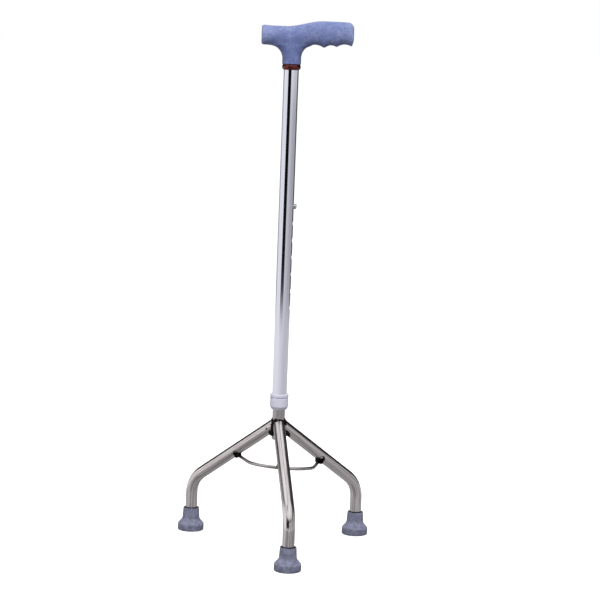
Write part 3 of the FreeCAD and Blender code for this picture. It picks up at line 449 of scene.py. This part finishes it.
def cope(leg, direction, point):
    """Slide a point of the leg's first ring along the leg to the stem, clear of the other legs."""
    a = direction.x ** 2 + direction.y ** 2
    b = point.x * direction.x + point.y * direction.y
    c = point.x ** 2 + point.y ** 2 - (STEM_RADIUS + LEG_GAP) ** 2
    travel = (-b + math.sqrt(max(b * b - a * c, 0))) / a
    for other in LEGS:
        if other == leg:
            continue
        # the upright plane halfway to the neighbour
        side = Vector((math.cos(HEADING[other]) - math.cos(HEADING[leg]),
                       math.sin(HEADING[other]) - math.sin(HEADING[leg]), 0)).normalized()
        travel = max(travel, -(point.dot(side) + LEG_GAP) / direction.dot(side))
    return point + direction * travel


def make_leg(leg):
    """One leg: a bent tube coped to the stem, a little oval in its bend, with its vent hole."""
    segments = 72
    stations = leg_path(leg)
    out, across = leg_frame(leg)
    points, lengths = [], [0.0]
    for (a, _), (b, _) in zip(stations, stations[1:]):
        lengths.append(lengths[-1] + (b - a).length)
    bend_start, bend_end = lengths[RUN_STATIONS - 1], lengths[RUN_STATIONS + BEND_STATIONS - 1]
    for radius in (LEG_RADIUS, LEG_RADIUS - LEG_WALL):
        for i, (place, direction) in enumerate(stations):
            normal = across.cross(direction)
            share = min(max((lengths[i] - bend_start) / (bend_end - bend_start), 0), 1)
            flat = BEND_FLATTENING * math.sin(math.pi * share) ** 2
            for k in range(segments):
                angle = 2 * math.pi * k / segments
                point = place + radius * (math.cos(angle) * (1 + BEND_WIDENING * flat) * across
                                          + math.sin(angle) * (1 - flat) * normal)
                points.append(cope(leg, direction, point) if i == 0 else point)
    count = len(stations)
    faces, uvs = [], []

    def quad(a, b, c, d, spots):
        faces.append([a, b, c, d])
        uvs.append(spots)

    for wall, radius in enumerate((LEG_RADIUS, LEG_RADIUS - LEG_WALL)):
        turn = 2 * math.pi * radius / segments
        for i in range(count - 1):
            for k in range(segments):
                m = (k + 1) % segments
                base = wall * count * segments
                a, b = base + i * segments + k, base + i * segments + m
                c, d = b + segments, a + segments
                spots = [(turn * k, lengths[i]), (turn * (k + 1), lengths[i]),
                         (turn * (k + 1), lengths[i + 1]), (turn * k, lengths[i + 1])]
                if wall:
                    quad(a, b, c, d, spots)
                else:
                    quad(a, d, c, b, [spots[0], spots[3], spots[2], spots[1]])
    for i, flip in ((0, False), (count - 1, True)):
        for k in range(segments):
            m = (k + 1) % segments
            outer, inner = i * segments, (count + i) * segments
            ring = [outer + k, outer + m, inner + m, inner + k]
            turn = 2 * math.pi * LEG_RADIUS / segments
            spots = [(turn * k, lengths[i]), (turn * (k + 1), lengths[i]),
                     (turn * (k + 1), lengths[i] + LEG_WALL), (turn * k, lengths[i] + LEG_WALL)]
            if flip:
                ring, spots = ring[::-1], spots[::-1]
            quad(*ring, spots)
    tube = add_mesh("leg_tube_" + leg, points, faces, uvs)

    centre = out * VENT_PLACE + Vector((0, 0, LEG_APEX - VENT_PLACE * math.tan(LEG_SLOPE)))
    sides = [(0, 0), (VENT_RADIUS, 0), (VENT_RADIUS, VENT_DEPTH), (0, VENT_DEPTH)]
    drill = lathe("drill", sides, segments=28)
    turn = Matrix((out, Vector((0, 0, -1)), across)).transposed().to_4x4()
    drill.matrix_world = Matrix.Translation(centre * MM) @ turn
    bpy.context.view_layer.update()
    hole = tube.modifiers.new("vent", "BOOLEAN")
    hole.object, hole.operation, hole.solver = drill, "DIFFERENCE", "EXACT"
    apply_modifiers(tube)
    bpy.data.objects.remove(drill)
    return shade(tube, 30.0)


# ---- welds -----------------------------------------------------------------------------------

def leg_distance(x, y, z, leg):
    """Distance to the surface of a leg's run, outside positive, and the place along its axis."""
    out, _ = leg_frame(leg)
    east, north = out.x * math.cos(LEG_SLOPE), out.y * math.cos(LEG_SLOPE)
    up = -math.sin(LEG_SLOPE)
    along = x * east + y * north + (z - LEG_APEX) * up
    gap = (x - along * east) ** 2 + (y - along * north) ** 2 + (z - LEG_APEX - along * up) ** 2
    return np.sqrt(gap) - LEG_RADIUS, along


# filler run down between the tubes, near black, which also stands as painted shade in the
# crotches: azimuth from the front, lower and upper end, radius
FILLERS = ((66.0, 187.2, 190.6, 3.2), (-56.0, 171.5, 186.5, 3.0))
FILLER_OFFSET, FILLER_BLEND = 0.6, 1.2
# drops of weld in the crotches, near black, also standing as painted shade there: place, radius
SPATTER = (((-12.6, -1.6, 172.4), 2.0), ((-11.2, -3.6, 170.4), 1.9), ((12.4, -2.6, 172.0), 3.5),
           ((15.8, -0.8, 170.2), 2.7), ((18.6, 1.2, 168.6), 2.0))
SPATTER_BLEND = 0.8
# radius of the bead over a side leg and, where it is thin, over the front leg; it and all other
# welds are rippled
SIDE_BEAD, THIN_BEAD = 1.7, 0.6
# thick places of the bead over the front leg: angle from its top, width, height
FRONT_BEAD = ((-38.0, 13.0, 1.9), (2.0, 9.0, 0.8), (30.0, 16.0, 0.35), (82.0, 18.0, 1.3),
              (-95.0, 20.0, 0.9))
# the beads' centre line off the tubes, where they start along a leg, how far they go into the stem
BEAD_OFFSET, BEAD_START, BEAD_BLEND, BEAD_DEPTH = 0.2, 2.0, 1.0, 0.9


def hub_field(x, y, z):
    """Rippled beads of weld round the root of each leg."""
    stem = np.hypot(x, y) - STEM_RADIUS
    beads = None
    for number, (place, bottom, top, size) in enumerate(FILLERS):
        turn = math.radians(place - 90.0)
        reach = STEM_RADIUS + FILLER_OFFSET
        aside = np.hypot(x - reach * math.cos(turn), y - reach * math.sin(turn))
        drop = np.hypot(aside, z - np.clip(z, bottom, top)) - size - 0.5 * np.sin(z * 1.9 + number)
        drop = drop - 0.7 * ripple(x, y, z, 4.6, number + 3.1)
        beads = drop if beads is None else join(beads, drop, FILLER_BLEND)
    for (east, north, level), size in SPATTER:
        drop = np.sqrt((x - east) ** 2 + (y - north) ** 2 + (z - level) ** 2) - size
        beads = join(beads, drop, SPATTER_BLEND)
    for number, leg in enumerate(LEGS):
        wall, along = leg_distance(x, y, z, leg)
        _, across = leg_frame(leg)
        angle = np.arctan2(x * across.x + y * across.y, z - LEG_APEX + along * math.sin(LEG_SLOPE))
        if leg == "front":
            size = THIN_BEAD + 0.3 * ripple(x, y, z, 5.0, 0.4)
            for centre, width, height in FRONT_BEAD:
                size = size + height * np.exp(-((np.degrees(angle) - centre) / width) ** 2)
        else:
            size = SIDE_BEAD + 0.25 * np.sin(angle * 19 + number)
            size = size + 0.9 * ripple(x, y, z, 8.0, number + 0.4)
        bead = np.hypot(stem - BEAD_OFFSET, wall - BEAD_OFFSET) - size
        bead = np.maximum(bead, BEAD_START - along)
        beads = join(beads, bead, BEAD_BLEND)
    return np.maximum(beads, -stem - BEAD_DEPTH)


def make_hub_weld():
    """The welds between legs and stem."""
    margin, pitch = 7.5, 0.42
    lowest = [c - margin for c in low("hub_weld")]
    highest = [c + margin for c in high("hub_weld")]
    return skin("hub_beads", hub_field, lowest, highest, pitch)


# drops of one weld: angle round the leg from its underside to its front, in degrees, place along
# the leg, distance from the leg's axis, radius
LUMP_DROPS = ((22, 0.0, 9.2, 3.8), (54, 0.3, 9.8, 4.1), (84, -0.4, 9.3, 3.4), (-4, 1.0, 9.6, 2.6),
              (36, -2.7, 9.6, 3.0), (46, 2.9, 9.4, 2.9))
# the lumps are sized to black blots that are partly weld and partly shade, so their near black is
# partly painted shade
LUMP_SCALE = {"front": 0.9, "right": 1.22, "left": 0.98}
# how much nearer to the hub a lump lies than the rod, and how far it is turned round the leg
LUMP_SHIFT = {"front": 0.0, "right": 5.2, "left": 3.0}
LUMP_TURN = {"front": -38.0, "right": 0.0, "left": 0.0}
LUMP_BLEND = 1.8
# every lump of the CAD's node lies further out than this along its own leg only
LUMP_NEAREST = 40.0


def make_brace_weld():
    """The lumps of weld where the rod meets the legs, each a few run-together drops."""
    corners = [vertex.co / MM for vertex in frame["nodes"]["brace_weld"].data.vertices]
    apex = Vector((0, 0, LEG_APEX))
    half, pitch = 13.0, 0.45
    parts = []
    for leg in LEGS:
        out, _ = leg_frame(leg)
        mine = [c for c in corners if c.dot(out) > LUMP_NEAREST]
        seat = Vector([(min(c[k] for c in mine) + max(c[k] for c in mine)) / 2 for k in range(3)])
        down = out * math.cos(LEG_SLOPE) - Vector((0, 0, math.sin(LEG_SLOPE)))
        axis = apex + down * (seat - apex).dot(down)
        under = (seat - axis).normalized()
        front = down.cross(under)
        front *= math.copysign(1, -front.y)
        drops, scale = [], LUMP_SCALE[leg]
        for degrees, along, away, size in LUMP_DROPS:
            turn = math.radians(degrees + LUMP_TURN[leg])
            way = under * math.cos(turn) + front * math.sin(turn)
            centre = axis + way * away + down * (along * scale - LUMP_SHIFT[leg])
            drops.append((centre, size * scale))

        def field(x, y, z, drops=drops):
            lumps = None
            for centre, size in drops:
                away = (x - centre.x) ** 2 + (y - centre.y) ** 2 + (z - centre.z) ** 2
                drop = np.sqrt(away) - size
                lumps = drop if lumps is None else join(lumps, drop, LUMP_BLEND)
            return lumps + 0.5 * ripple(x, y, z, 4.3, 2.0) + 0.25 * ripple(x, y, z, 2.1, 5.0)

        lowest, highest = [c - half for c in seat], [c + half for c in seat]
        parts.append(skin("brace_lump_" + leg, field, lowest, highest, pitch))
    return parts


# ---- feet ------------------------------------------------------------------------------------

# grooves in the sole: radius, depth, half their width at the bottom and at the sole
TREADS, TREAD_DEPTH, TREAD_BOTTOM, TREAD_MOUTH = (7.0, 13.6), 1.8, 0.9, 1.3
# the upright band's top, where the flare ends, and the neck with the recess round the leg
BAND_TOP, FLARE_END = 10.0, (13.3, 17.8)
FOOT_NECK, RECESS_MOUTH, RECESS_RADIUS, RECESS_DEPTH = 12.15, 11.2, 11.0, 4.0
SEAT_RADIUS, SEAT_LEVEL = LEG_RADIUS + 0.03, 6.5


def make_foot(leg):
    """A moulded rubber foot: treaded sole, upright band, flare and a neck round the leg."""
    radius = (high("foot_" + leg).x - low("foot_" + leg).x) / 2
    top = high("foot_" + leg).z
    profile = [(0, 0)]
    for centre in TREADS:
        profile += [(centre - TREAD_MOUTH, 0), (centre - TREAD_BOTTOM, TREAD_DEPTH),
                    (centre + TREAD_BOTTOM, TREAD_DEPTH), (centre + TREAD_MOUTH, 0)]
    sole = len(profile)
    profile += [(radius - 0.5, 0), (radius, 1.4), (radius, BAND_TOP), FLARE_END, (FOOT_NECK, top),
                (RECESS_MOUTH, top), (RECESS_RADIUS, top - RECESS_DEPTH),
                (SEAT_RADIUS, top - RECESS_DEPTH), (SEAT_RADIUS, SEAT_LEVEL), (0, SEAT_LEVEL)]
    rounds = {sole: 0.5, sole + 2: 2.4, sole + 3: 6.5, sole + 4: 0.5, sole + 5: 0.25}
    return lathe("rubber_foot_" + leg, soften(profile, rounds, 9), centre=FOOT[leg], segments=112)


# ---- materials -------------------------------------------------------------------------------

def add(mat, kind, settings=None, **inputs):
    """A shader node with its settings, and its inputs set or linked. An underscore is a space."""
    node = mat.node_tree.nodes.new("ShaderNode" + kind)
    for name, setting in (settings or {}).items():
        setattr(node, name, setting)
    for name, given in inputs.items():
        socket = node.inputs[name.replace("_", " ")]
        if isinstance(given, bpy.types.NodeSocket):
            mat.node_tree.links.new(given, socket)
        else:
            socket.default_value = given
    return node


def combine(mat, operation, first, second):
    """One maths node on two values."""
    node = add(mat, "Math", {"operation": operation})
    for socket, given in zip(node.inputs, (first, second)):
        if isinstance(given, bpy.types.NodeSocket):
            mat.node_tree.links.new(given, socket)
        else:
            socket.default_value = given
    return node.outputs[0]


def grain(mat, place, layers):
    """A sum of noises, each (size in millimetres, weight), about 0.5 in the middle."""
    total = 0.5
    for size, weight in layers:
        noise = add(mat, "TexNoise", Vector=place, Scale=1 / (size * MM), Detail=3.0,
                    Roughness=0.55)
        centred = combine(mat, "SUBTRACT", noise.outputs["Fac"], 0.5)
        total = combine(mat, "ADD", combine(mat, "MULTIPLY", centred, weight), total)
    return total


def spread(mat, value, source, target):
    """A value mapped from one range to another, held at the ends."""
    node = add(mat, "MapRange", Value=value, From_Min=source[0], From_Max=source[1],
               To_Min=target[0], To_Max=target[1])
    return node.outputs[0]


def ramp(mat, value, *stops):
    """Colours along a value: (position, colour)."""
    node = add(mat, "ValToRGB", Fac=value)
    elements = node.color_ramp.elements
    while len(elements) < len(stops):
        elements.new(0.5)
    for element, (position, colour) in zip(elements, stops):
        element.position = position
        element.color = (*colour, 1.0)
    return node.outputs[0]


# the part of a grain that the colours and the roughness are spread over
TONES = (0.3, 0.7)
# what is left of a colour under the painted shade band
PAINTED_SHADE_DEPTH = 0.03


def finish(name, colours, tone, rough, bumps, coords="Object", stretch=(1, 1, 1), fades=(),
           painted_shade_band=None, height=0.05, **shader):
    """A material: colours over a toning grain, roughness over the same, and bumps.

    Tone and bumps are layers of a grain, and height is the bumps' in millimetres. A fade is a
    place, two distances from it, and the tones added at the one and at the other, painted light
    or shade. The painted shade band is a pair of levels: black below the first, unshaded above
    the second.
    """
    mat = bpy.data.materials.new(name)
    mat.use_nodes = True
    link = mat.node_tree.links.new
    bsdf = mat.node_tree.nodes["Principled BSDF"]
    for key, given in shader.items():
        bsdf.inputs[key.replace("_", " ")].default_value = given
    place = add(mat, "TexCoord").outputs[coords]
    place = add(mat, "Mapping", Vector=place, Scale=stretch).outputs[0]
    value = grain(mat, place, tone)
    for spot, (near, far), tones in fades:
        away = add(mat, "VectorMath", {"operation": "DISTANCE"})
        link(place, away.inputs[0])
        away.inputs[1].default_value = [MM * c for c in spot]
        fade = spread(mat, away.outputs["Value"], (near * MM, far * MM), tones)
        value = combine(mat, "ADD", value, fade)
    darkest, lightest = TONES
    share = (lightest - darkest) / (len(colours) - 1)
    stops = [(darkest + share * i, colour) for i, colour in enumerate(colours)]
    colour = ramp(mat, value, *stops)
    # painted shade: the colour goes black below a level, just above the feet
    if painted_shade_band:
        level = add(mat, "SeparateXYZ", Vector=add(mat, "TexCoord").outputs["Object"]).outputs["Z"]
        unshaded_share = spread(mat, level, [MM * c for c in painted_shade_band], (PAINTED_SHADE_DEPTH, 1.0))
        shaded_colour_node = add(mat, "VectorMath", {"operation": "SCALE"}, Scale=unshaded_share)
        link(colour, shaded_colour_node.inputs[0])
        colour = shaded_colour_node.outputs["Vector"]
    link(colour, bsdf.inputs["Base Color"])
    link(spread(mat, value, TONES, rough), bsdf.inputs["Roughness"])
    relief = grain(mat, place, bumps)
    bump = add(mat, "Bump", Strength=1.0, Distance=height * MM, Height=relief)
    link(bump.outputs[0], bsdf.inputs["Normal"])
    return mat


def make_materials():
    """One material for each slot of the record."""
    # grain drawn out along an upright tube, and along a leg by its UVs
    drawn = (1, 1, 0.012)
    along = (1, 0.02, 1)
    return {
        "grip_plastic": finish(
            "moulded_grip", [(0.118, 0.153, 0.365), (0.188, 0.232, 0.468), (0.295, 0.338, 0.58)],
            [(9.0, 0.5), (2.4, 0.55), (1.1, 0.6)], (0.5, 0.64), [(0.9, 1.0), (0.45, 0.6)],
            # painted shade darkening the neck under the bar, and painted light paling both ends of
            # the bar
            fades=(((-5.0, 0.0, 745.0), (16.0, 38.0), (-0.12, 0.0)),
                   ((24.0, 0.0, 770.0), (48.0, 71.0), (0.0, 0.15))), height=0.10, IOR=1.48),
        "ring_lacquer": finish(
            "red_lacquer", [(0.09, 0.007, 0.004), (0.18, 0.016, 0.008)],
            [(4.0, 1.0), (0.5, 0.4)], (0.07, 0.12), [(0.6, 1.0)],
            height=0.003, Metallic=1.0, Coat_Weight=0.7, Coat_Roughness=0.05),
        "shaft_aluminium": finish(
            "drawn_aluminium", [(0.77, 0.78, 0.88), (0.85, 0.86, 0.95)],
            [(1.2, 0.7), (0.35, 0.6)], (0.06, 0.11), [(0.5, 1.0), (0.22, 0.7)],
            stretch=drawn, height=0.002, Metallic=1.0),
        "collar_plastic": finish(
            "collar_moulding", [(0.76, 0.76, 0.90), (0.83, 0.83, 0.97)],
            [(6.0, 1.0), (0.8, 0.4)], (0.32, 0.42), [(1.1, 1.0)], height=0.01, IOR=1.47),
        "bush_plastic": finish(
            "nylon", [(0.60, 0.60, 0.58), (0.72, 0.72, 0.70)],
            [(3.0, 1.0), (0.6, 0.5)], (0.42, 0.55), [(0.7, 1.0)], height=0.012),
        "stem_steel": finish(
            "drawn_steel", [(0.38, 0.355, 0.36), (0.58, 0.55, 0.55)],
            [(1.5, 0.7), (0.3, 0.7)], (0.20, 0.34), [(0.4, 1.0), (0.2, 0.8)],
            stretch=drawn, height=0.006, Metallic=1.0),
        # the legs carry a band of painted shade just above the feet
        "leg_steel": finish(
            "polished_steel", [(0.47, 0.43, 0.415), (0.74, 0.69, 0.685), (0.89, 0.845, 0.855)],
            [(5.0, 1.1), (1.6, 0.9), (0.5, 0.7)], (0.14, 0.26), [(0.5, 1.0), (0.25, 0.6)],
            coords="UV", stretch=along, painted_shade_band=LEG_PAINTED_SHADE, height=0.006, Metallic=1.0),
        "rod_steel": finish(
            "polished_wire", [(0.44, 0.42, 0.41), (0.60, 0.58, 0.56)],
            [(2.5, 1.0), (0.5, 0.5)], (0.20, 0.34), [(0.5, 1.0)], height=0.008, Metallic=1.0),
        # near black with little gloss: the welds' burnt scale, and painted shade in the joints and
        # crotches as well
        "weld_metal": finish(
            "burnt_weld_and_painted_shade", [(0.0015, 0.0015, 0.002), (0.004, 0.0035, 0.004), (0.03, 0.016, 0.012)],
            [(3.0, 1.0), (0.8, 0.6)], (0.40, 0.66), [(1.0, 1.0), (0.4, 0.7)],
            height=0.15, Specular_IOR_Level=0.10),
        "fastener_steel": finish(
            "nickel_plate", [(0.55, 0.55, 0.56), (0.68, 0.68, 0.70)],
            [(2.0, 1.0), (0.4, 0.5)], (0.16, 0.28), [(0.3, 1.0)], height=0.004, Metallic=1.0),
        "spring_steel": finish(
            "rolled_strip", [(0.26, 0.26, 0.28), (0.40, 0.40, 0.42)],
            [(1.0, 1.0), (0.3, 0.5)], (0.26, 0.40), [(0.3, 1.0)],
            stretch=(1, 1, 0.05), height=0.006, Metallic=1.0),
        "foot_rubber": finish(
            "moulded_rubber", [(0.145, 0.152, 0.222), (0.235, 0.243, 0.352), (0.34, 0.352, 0.50)],
            [(7.0, 0.8), (1.5, 1.0), (0.6, 0.7)], (0.66, 0.86), [(1.1, 1.0), (0.5, 0.7)],
            height=0.16, IOR=1.5),
    }


# ---- studio ----------------------------------------------------------------------------------

# place in metres, yaw, pitch and roll in degrees, and focal length
CAMERA_PLACE, CAMERA_TURN, CAMERA_LENS = (0.0, -3.188, 0.824), (0.46, 8.0, 2.17), 129.06


def make_camera():
    """The camera, in front of the cane, a little above its handle and turned down towards it."""
    yaw, pitch, roll = (math.radians(angle) for angle in CAMERA_TURN)
    ahead = Vector((math.sin(yaw) * math.cos(pitch), math.cos(yaw) * math.cos(pitch),
                    -math.sin(pitch)))
    level = ahead.cross(Vector((0, 0, 1))).normalized()
    rise = level.cross(ahead)
    right = level * math.cos(roll) + rise * math.sin(roll)
    top = rise * math.cos(roll) - level * math.sin(roll)
    data = bpy.data.cameras.new("camera")
    data.lens, data.sensor_width = CAMERA_LENS, 36.0
    data.clip_start, data.clip_end = 0.05, 200.0
    camera = bpy.data.objects.new("camera", data)
    turn = Matrix((right, top, -ahead)).transposed().to_4x4()
    camera.matrix_world = Matrix.Translation(CAMERA_PLACE) @ turn
    bpy.context.scene.collection.objects.link(camera)
    bpy.context.scene.camera = camera


def plain(name, colour, glow):
    """A plain matt surface for the studio, with a white glow of its own."""
    mat = bpy.data.materials.new(name)
    mat.use_nodes = True
    bsdf = mat.node_tree.nodes["Principled BSDF"]
    bsdf.inputs["Base Color"].default_value = (*colour, 1)
    bsdf.inputs["Roughness"].default_value = 0.9
    bsdf.inputs["Specular IOR Level"].default_value = 0.0
    bsdf.inputs["Emission Color"].default_value = (1, 1, 1, 1)
    bsdf.inputs["Emission Strength"].default_value = glow
    return mat


def seen_by(thing, *rays):
    """Limit what kinds of ray see a piece of the studio."""
    for ray in ("camera", "diffuse", "glossy", "transmission", "shadow", "volume_scatter"):
        setattr(thing, "visible_" + ray, ray in rays)


def disc(name, radius, level, mat):
    """A flat round sheet, its radius and level in millimetres."""
    count = 96
    turns = [2 * math.pi * k / count for k in range(count)]
    edge = [(radius * math.cos(turn), radius * math.sin(turn), level) for turn in turns]
    sheet = add_mesh(name, edge, [list(range(count))])
    sheet.data.materials.append(mat)
    return sheet


# cloths round the sides of the tent: the azimuths of their two edges, and how soft those are
FAR_LEFT_CLOTH, LEFT_CLOTH = (-148.0, -121.0, 2.0), (-121.0, -43.0, 2.0)
BLACK_CLOTH, RIGHT_CLOTH = (-43.0, 5.0, 2.0), (5.0, 112.0, 3.0)
# elevation at which a cloth ends, and over how much it does
CLOTH_TOP, CLOTH_FRAY = 13.5, 3.0
# how bright they are, and the open rest; the right one fades to the side and has a light hem
FAR_LEFT_LIGHT, LEFT_LIGHT, BLACK_LIGHT, OPEN_LIGHT = 0.46, 0.86, 0.004, 0.09
RIGHT_LIGHT, RIGHT_FADE, RIGHT_HEM = 0.62, 0.20, 0.22
# how bright the gap over the cloths is, and the roof with its dark seams
GAP_LIGHT, ROOF_LIGHT, SEAM_SHADE = 0.012, 0.98, 0.68
# how bright the ground is near the horizon, further down and right below, and by how much the
# first two fall to the right
NEAR_GROUND, FAR_GROUND, LOW_GROUND = 0.86, 0.50, 0.36
NEAR_FADE, FAR_FADE = 0.26, 0.12


def between(value, start, end, edge):
    """1 between two bounds, 0 outside them, smooth over an edge to both sides of each."""
    rise, fall = ease(value, start - edge, start + edge), ease(value, end - edge, end + edge)
    return float(rise * (1 - fall))


def tent_light(azimuth, elevation):
    """How bright the tent is in a direction: azimuth from the front, positive towards +X."""

    def climb(start, end):
        return float(ease(elevation, start, end))

    # the cloths, each to its own height, with dark gaps above and between them
    far_left = between(azimuth, *FAR_LEFT_CLOTH)
    left = between(azimuth, *LEFT_CLOTH)
    black = between(azimuth, *BLACK_CLOTH)
    right = between(azimuth, *RIGHT_CLOTH)
    wall = FAR_LEFT_LIGHT * far_left + LEFT_LIGHT * left + BLACK_LIGHT * black
    aside = float(ease(azimuth, 10.0, 80.0))
    wall += (RIGHT_LIGHT - RIGHT_FADE * aside + RIGHT_HEM * climb(12.0, 14.5)) * right
    wall += OPEN_LIGHT * (1 - far_left - left - black - right)
    wall += 0.22 * between(azimuth, -113.0, -84.0, 3.0) * climb(13.0, 16.0)
    gap = GAP_LIGHT + 0.06 * between(azimuth, -122.0, -60.0, 3.0)
    gap += 0.26 * between(azimuth, 10.0, 93.0, 4.0)
    gap += (0.05 if azimuth > 0 else 0.02) * climb(22.0, 30.0)
    top = CLOTH_TOP + 13.0 * between(azimuth, -114.0, -45.0, 2.0) + 9.0 * black + 3.0 * right
    wall += (gap - wall) * climb(top, top + CLOTH_FRAY)

    # the ceiling, down to an uneven edge, with a dark seam overhead and one to the front left
    front = between(azimuth, -75.0, 72.0, 14.0)
    edge = 43.0 + 13.0 * between(azimuth, 95.0, 165.0, 15.0) - 14.0 * front
    lean, turn = math.radians(elevation), math.radians(azimuth)
    east, south = math.cos(lean) * math.sin(turn), math.cos(lean) * math.cos(turn)
    seam = math.exp(-((east + 0.03) / 0.11) ** 2 - (south / 0.2) ** 2)
    seam = max(seam, between(azimuth, -52.0, -20.0, 9.0) * between(elevation, 51.0, 82.0, 4.0))
    roof = ROOF_LIGHT - SEAM_SHADE * seam
    wall += (roof - wall) * climb(edge - 4.0, edge + 4.0)

    # the ground, with a darker piece under the black cloth
    aside = float(ease(azimuth, -60.0, 60.0))
    near, far = NEAR_GROUND - NEAR_FADE * aside, FAR_GROUND - FAR_FADE * aside
    ground = near + (far - near) * float(ease(-elevation, 4.5, 11.0))
    ground += (LOW_GROUND - ground) * float(ease(-elevation, 14.0, 60.0))
    ground *= 1 - 0.4 * between(azimuth, -43.0, 3.0, 6.0) * float(ease(-elevation, 8.0, 12.0))
    return ground + (wall - ground) * climb(-1.0, 1.0)


def make_shell(name, radius, light, warmth):
    """A round shell of glowing cloth, as bright in each direction as a function says.

    Warmth is the share of red and green in the light, to blue.
    """
    across, up = 360, 180
    points, faces, levels = [], [], []
    for i in range(up + 1):
        elevation = -90 + 180 * i / up
        for k in range(across):
            azimuth = -180 + 360 * k / across
            lean, turn = math.radians(elevation), math.radians(azimuth)
            points.append((radius * math.cos(lean) * math.sin(turn),
                           -radius * math.cos(lean) * math.cos(turn), radius * math.sin(lean)))
            levels.append(light(azimuth, elevation))
    for i in range(up):
        for k in range(across):
            m = (k + 1) % across
            a, b = i * across + k, i * across + m
            faces.append([a, b, b + across, a + across])
    shell = add_mesh(name, points, faces)
    glow_map = shell.data.color_attributes.new("light", "FLOAT_COLOR", "POINT")
    colours = [(level * warmth, level * warmth, level, 1.0) for level in levels]
    glow_map.data.foreach_set("color", [c for colour in colours for c in colour])
    mat = bpy.data.materials.new(name + "_cloth")
    mat.use_nodes = True
    mat.node_tree.nodes.clear()
    source = add(mat, "VertexColor", {"layer_name": "light"})
    glow = add(mat, "Emission", Color=source.outputs["Color"])
    add(mat, "OutputMaterial", Surface=glow.outputs[0])
    shell.data.materials.append(mat)
    return shell


def make_light(name, place, target, size, power):
    """A soft square lamp that points at a target. Metres and watts."""
    data = bpy.data.lights.new(name, "AREA")
    data.shape, data.size, data.energy = "SQUARE", size, power
    lamp = bpy.data.objects.new(name, data)
    lamp.location = place
    lamp.rotation_euler = (Vector(target) - Vector(place)).to_track_quat("-Z", "Y").to_euler()
    lamp.visible_glossy = False
    bpy.context.scene.collection.objects.link(lamp)


def make_studio():
    """A pale floor without an edge, a tent that only gloss mirrors, and three soft lamps.

    The lamps stand above the front, at the left and behind the cane.
    """
    floor = disc("floor", 40000.0, -0.05, plain("floor_paper", (0.8, 0.8, 0.8), 0.66))
    seen_by(floor, "camera", "shadow")
    ground = disc("ground", 40000.0, -1.0, plain("ground_paper", (0.36, 0.36, 0.38), 0.0))
    seen_by(ground, "diffuse")
    dome = make_shell("backdrop", 30000.0, lambda azimuth, elevation: 1.0, 1.0)
    seen_by(dome, "camera")
    seen_by(make_shell("tent", 2500.0, tent_light, 0.98), "glossy")
    world = bpy.data.worlds.new("world")
    world.use_nodes = True
    back = world.node_tree.nodes["Background"]
    back.inputs["Color"].default_value = (1, 1, 1, 1)
    back.inputs["Strength"].default_value = 0.50
    bpy.context.scene.world = world
    make_light("key", (0.5, -1.5, 2.7), (0, 0, 0.55), 1.3, 46.0)
    make_light("fill", (-1.9, -1.7, 1.2), (0, 0, 0.45), 1.6, 14.0)
    make_light("back", (0.6, 2.4, 1.8), (0, 0, 0.45), 1.6, 16.0)
    bpy.context.scene.view_settings.view_transform = "Standard"


# ---- the cane --------------------------------------------------------------------------------

SLOTS = {row["node"]: row["material_slot"] for row in frame["record"]["subparts"]}
MATERIALS = make_materials()


def dress(thing, slot):
    """Give a piece the material of a slot."""
    thing.data.materials.clear()
    thing.data.materials.append(MATERIALS[slot])


def install(thing, body, *nodes):
    """A finished piece: it stands for CAD nodes, has their finish and rides on their body."""
    slot = SLOTS[nodes[0]]
    dress(thing, slot)
    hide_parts(*nodes)
    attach(thing, body)


make_camera()
make_studio()
install(make_handle(), "shaft", "handle_grip")
install(make_ring(), "shaft", "neck_ring")
install(make_sleeve(), "shaft", "collar_sleeve")
install(make_nut(), "nut", "lock_nut")
install(make_hub_weld(), "base", "hub_weld")
for lump in make_brace_weld():
    install(lump, "base", "brace_weld")
for leg in LEGS:
    install(make_leg(leg), "base", "leg_" + leg)
    install(make_foot(leg), "base", "foot_" + leg)
for node, thing in frame["nodes"].items():
    if not thing.hide_render:
        dress(thing, SLOTS[node])
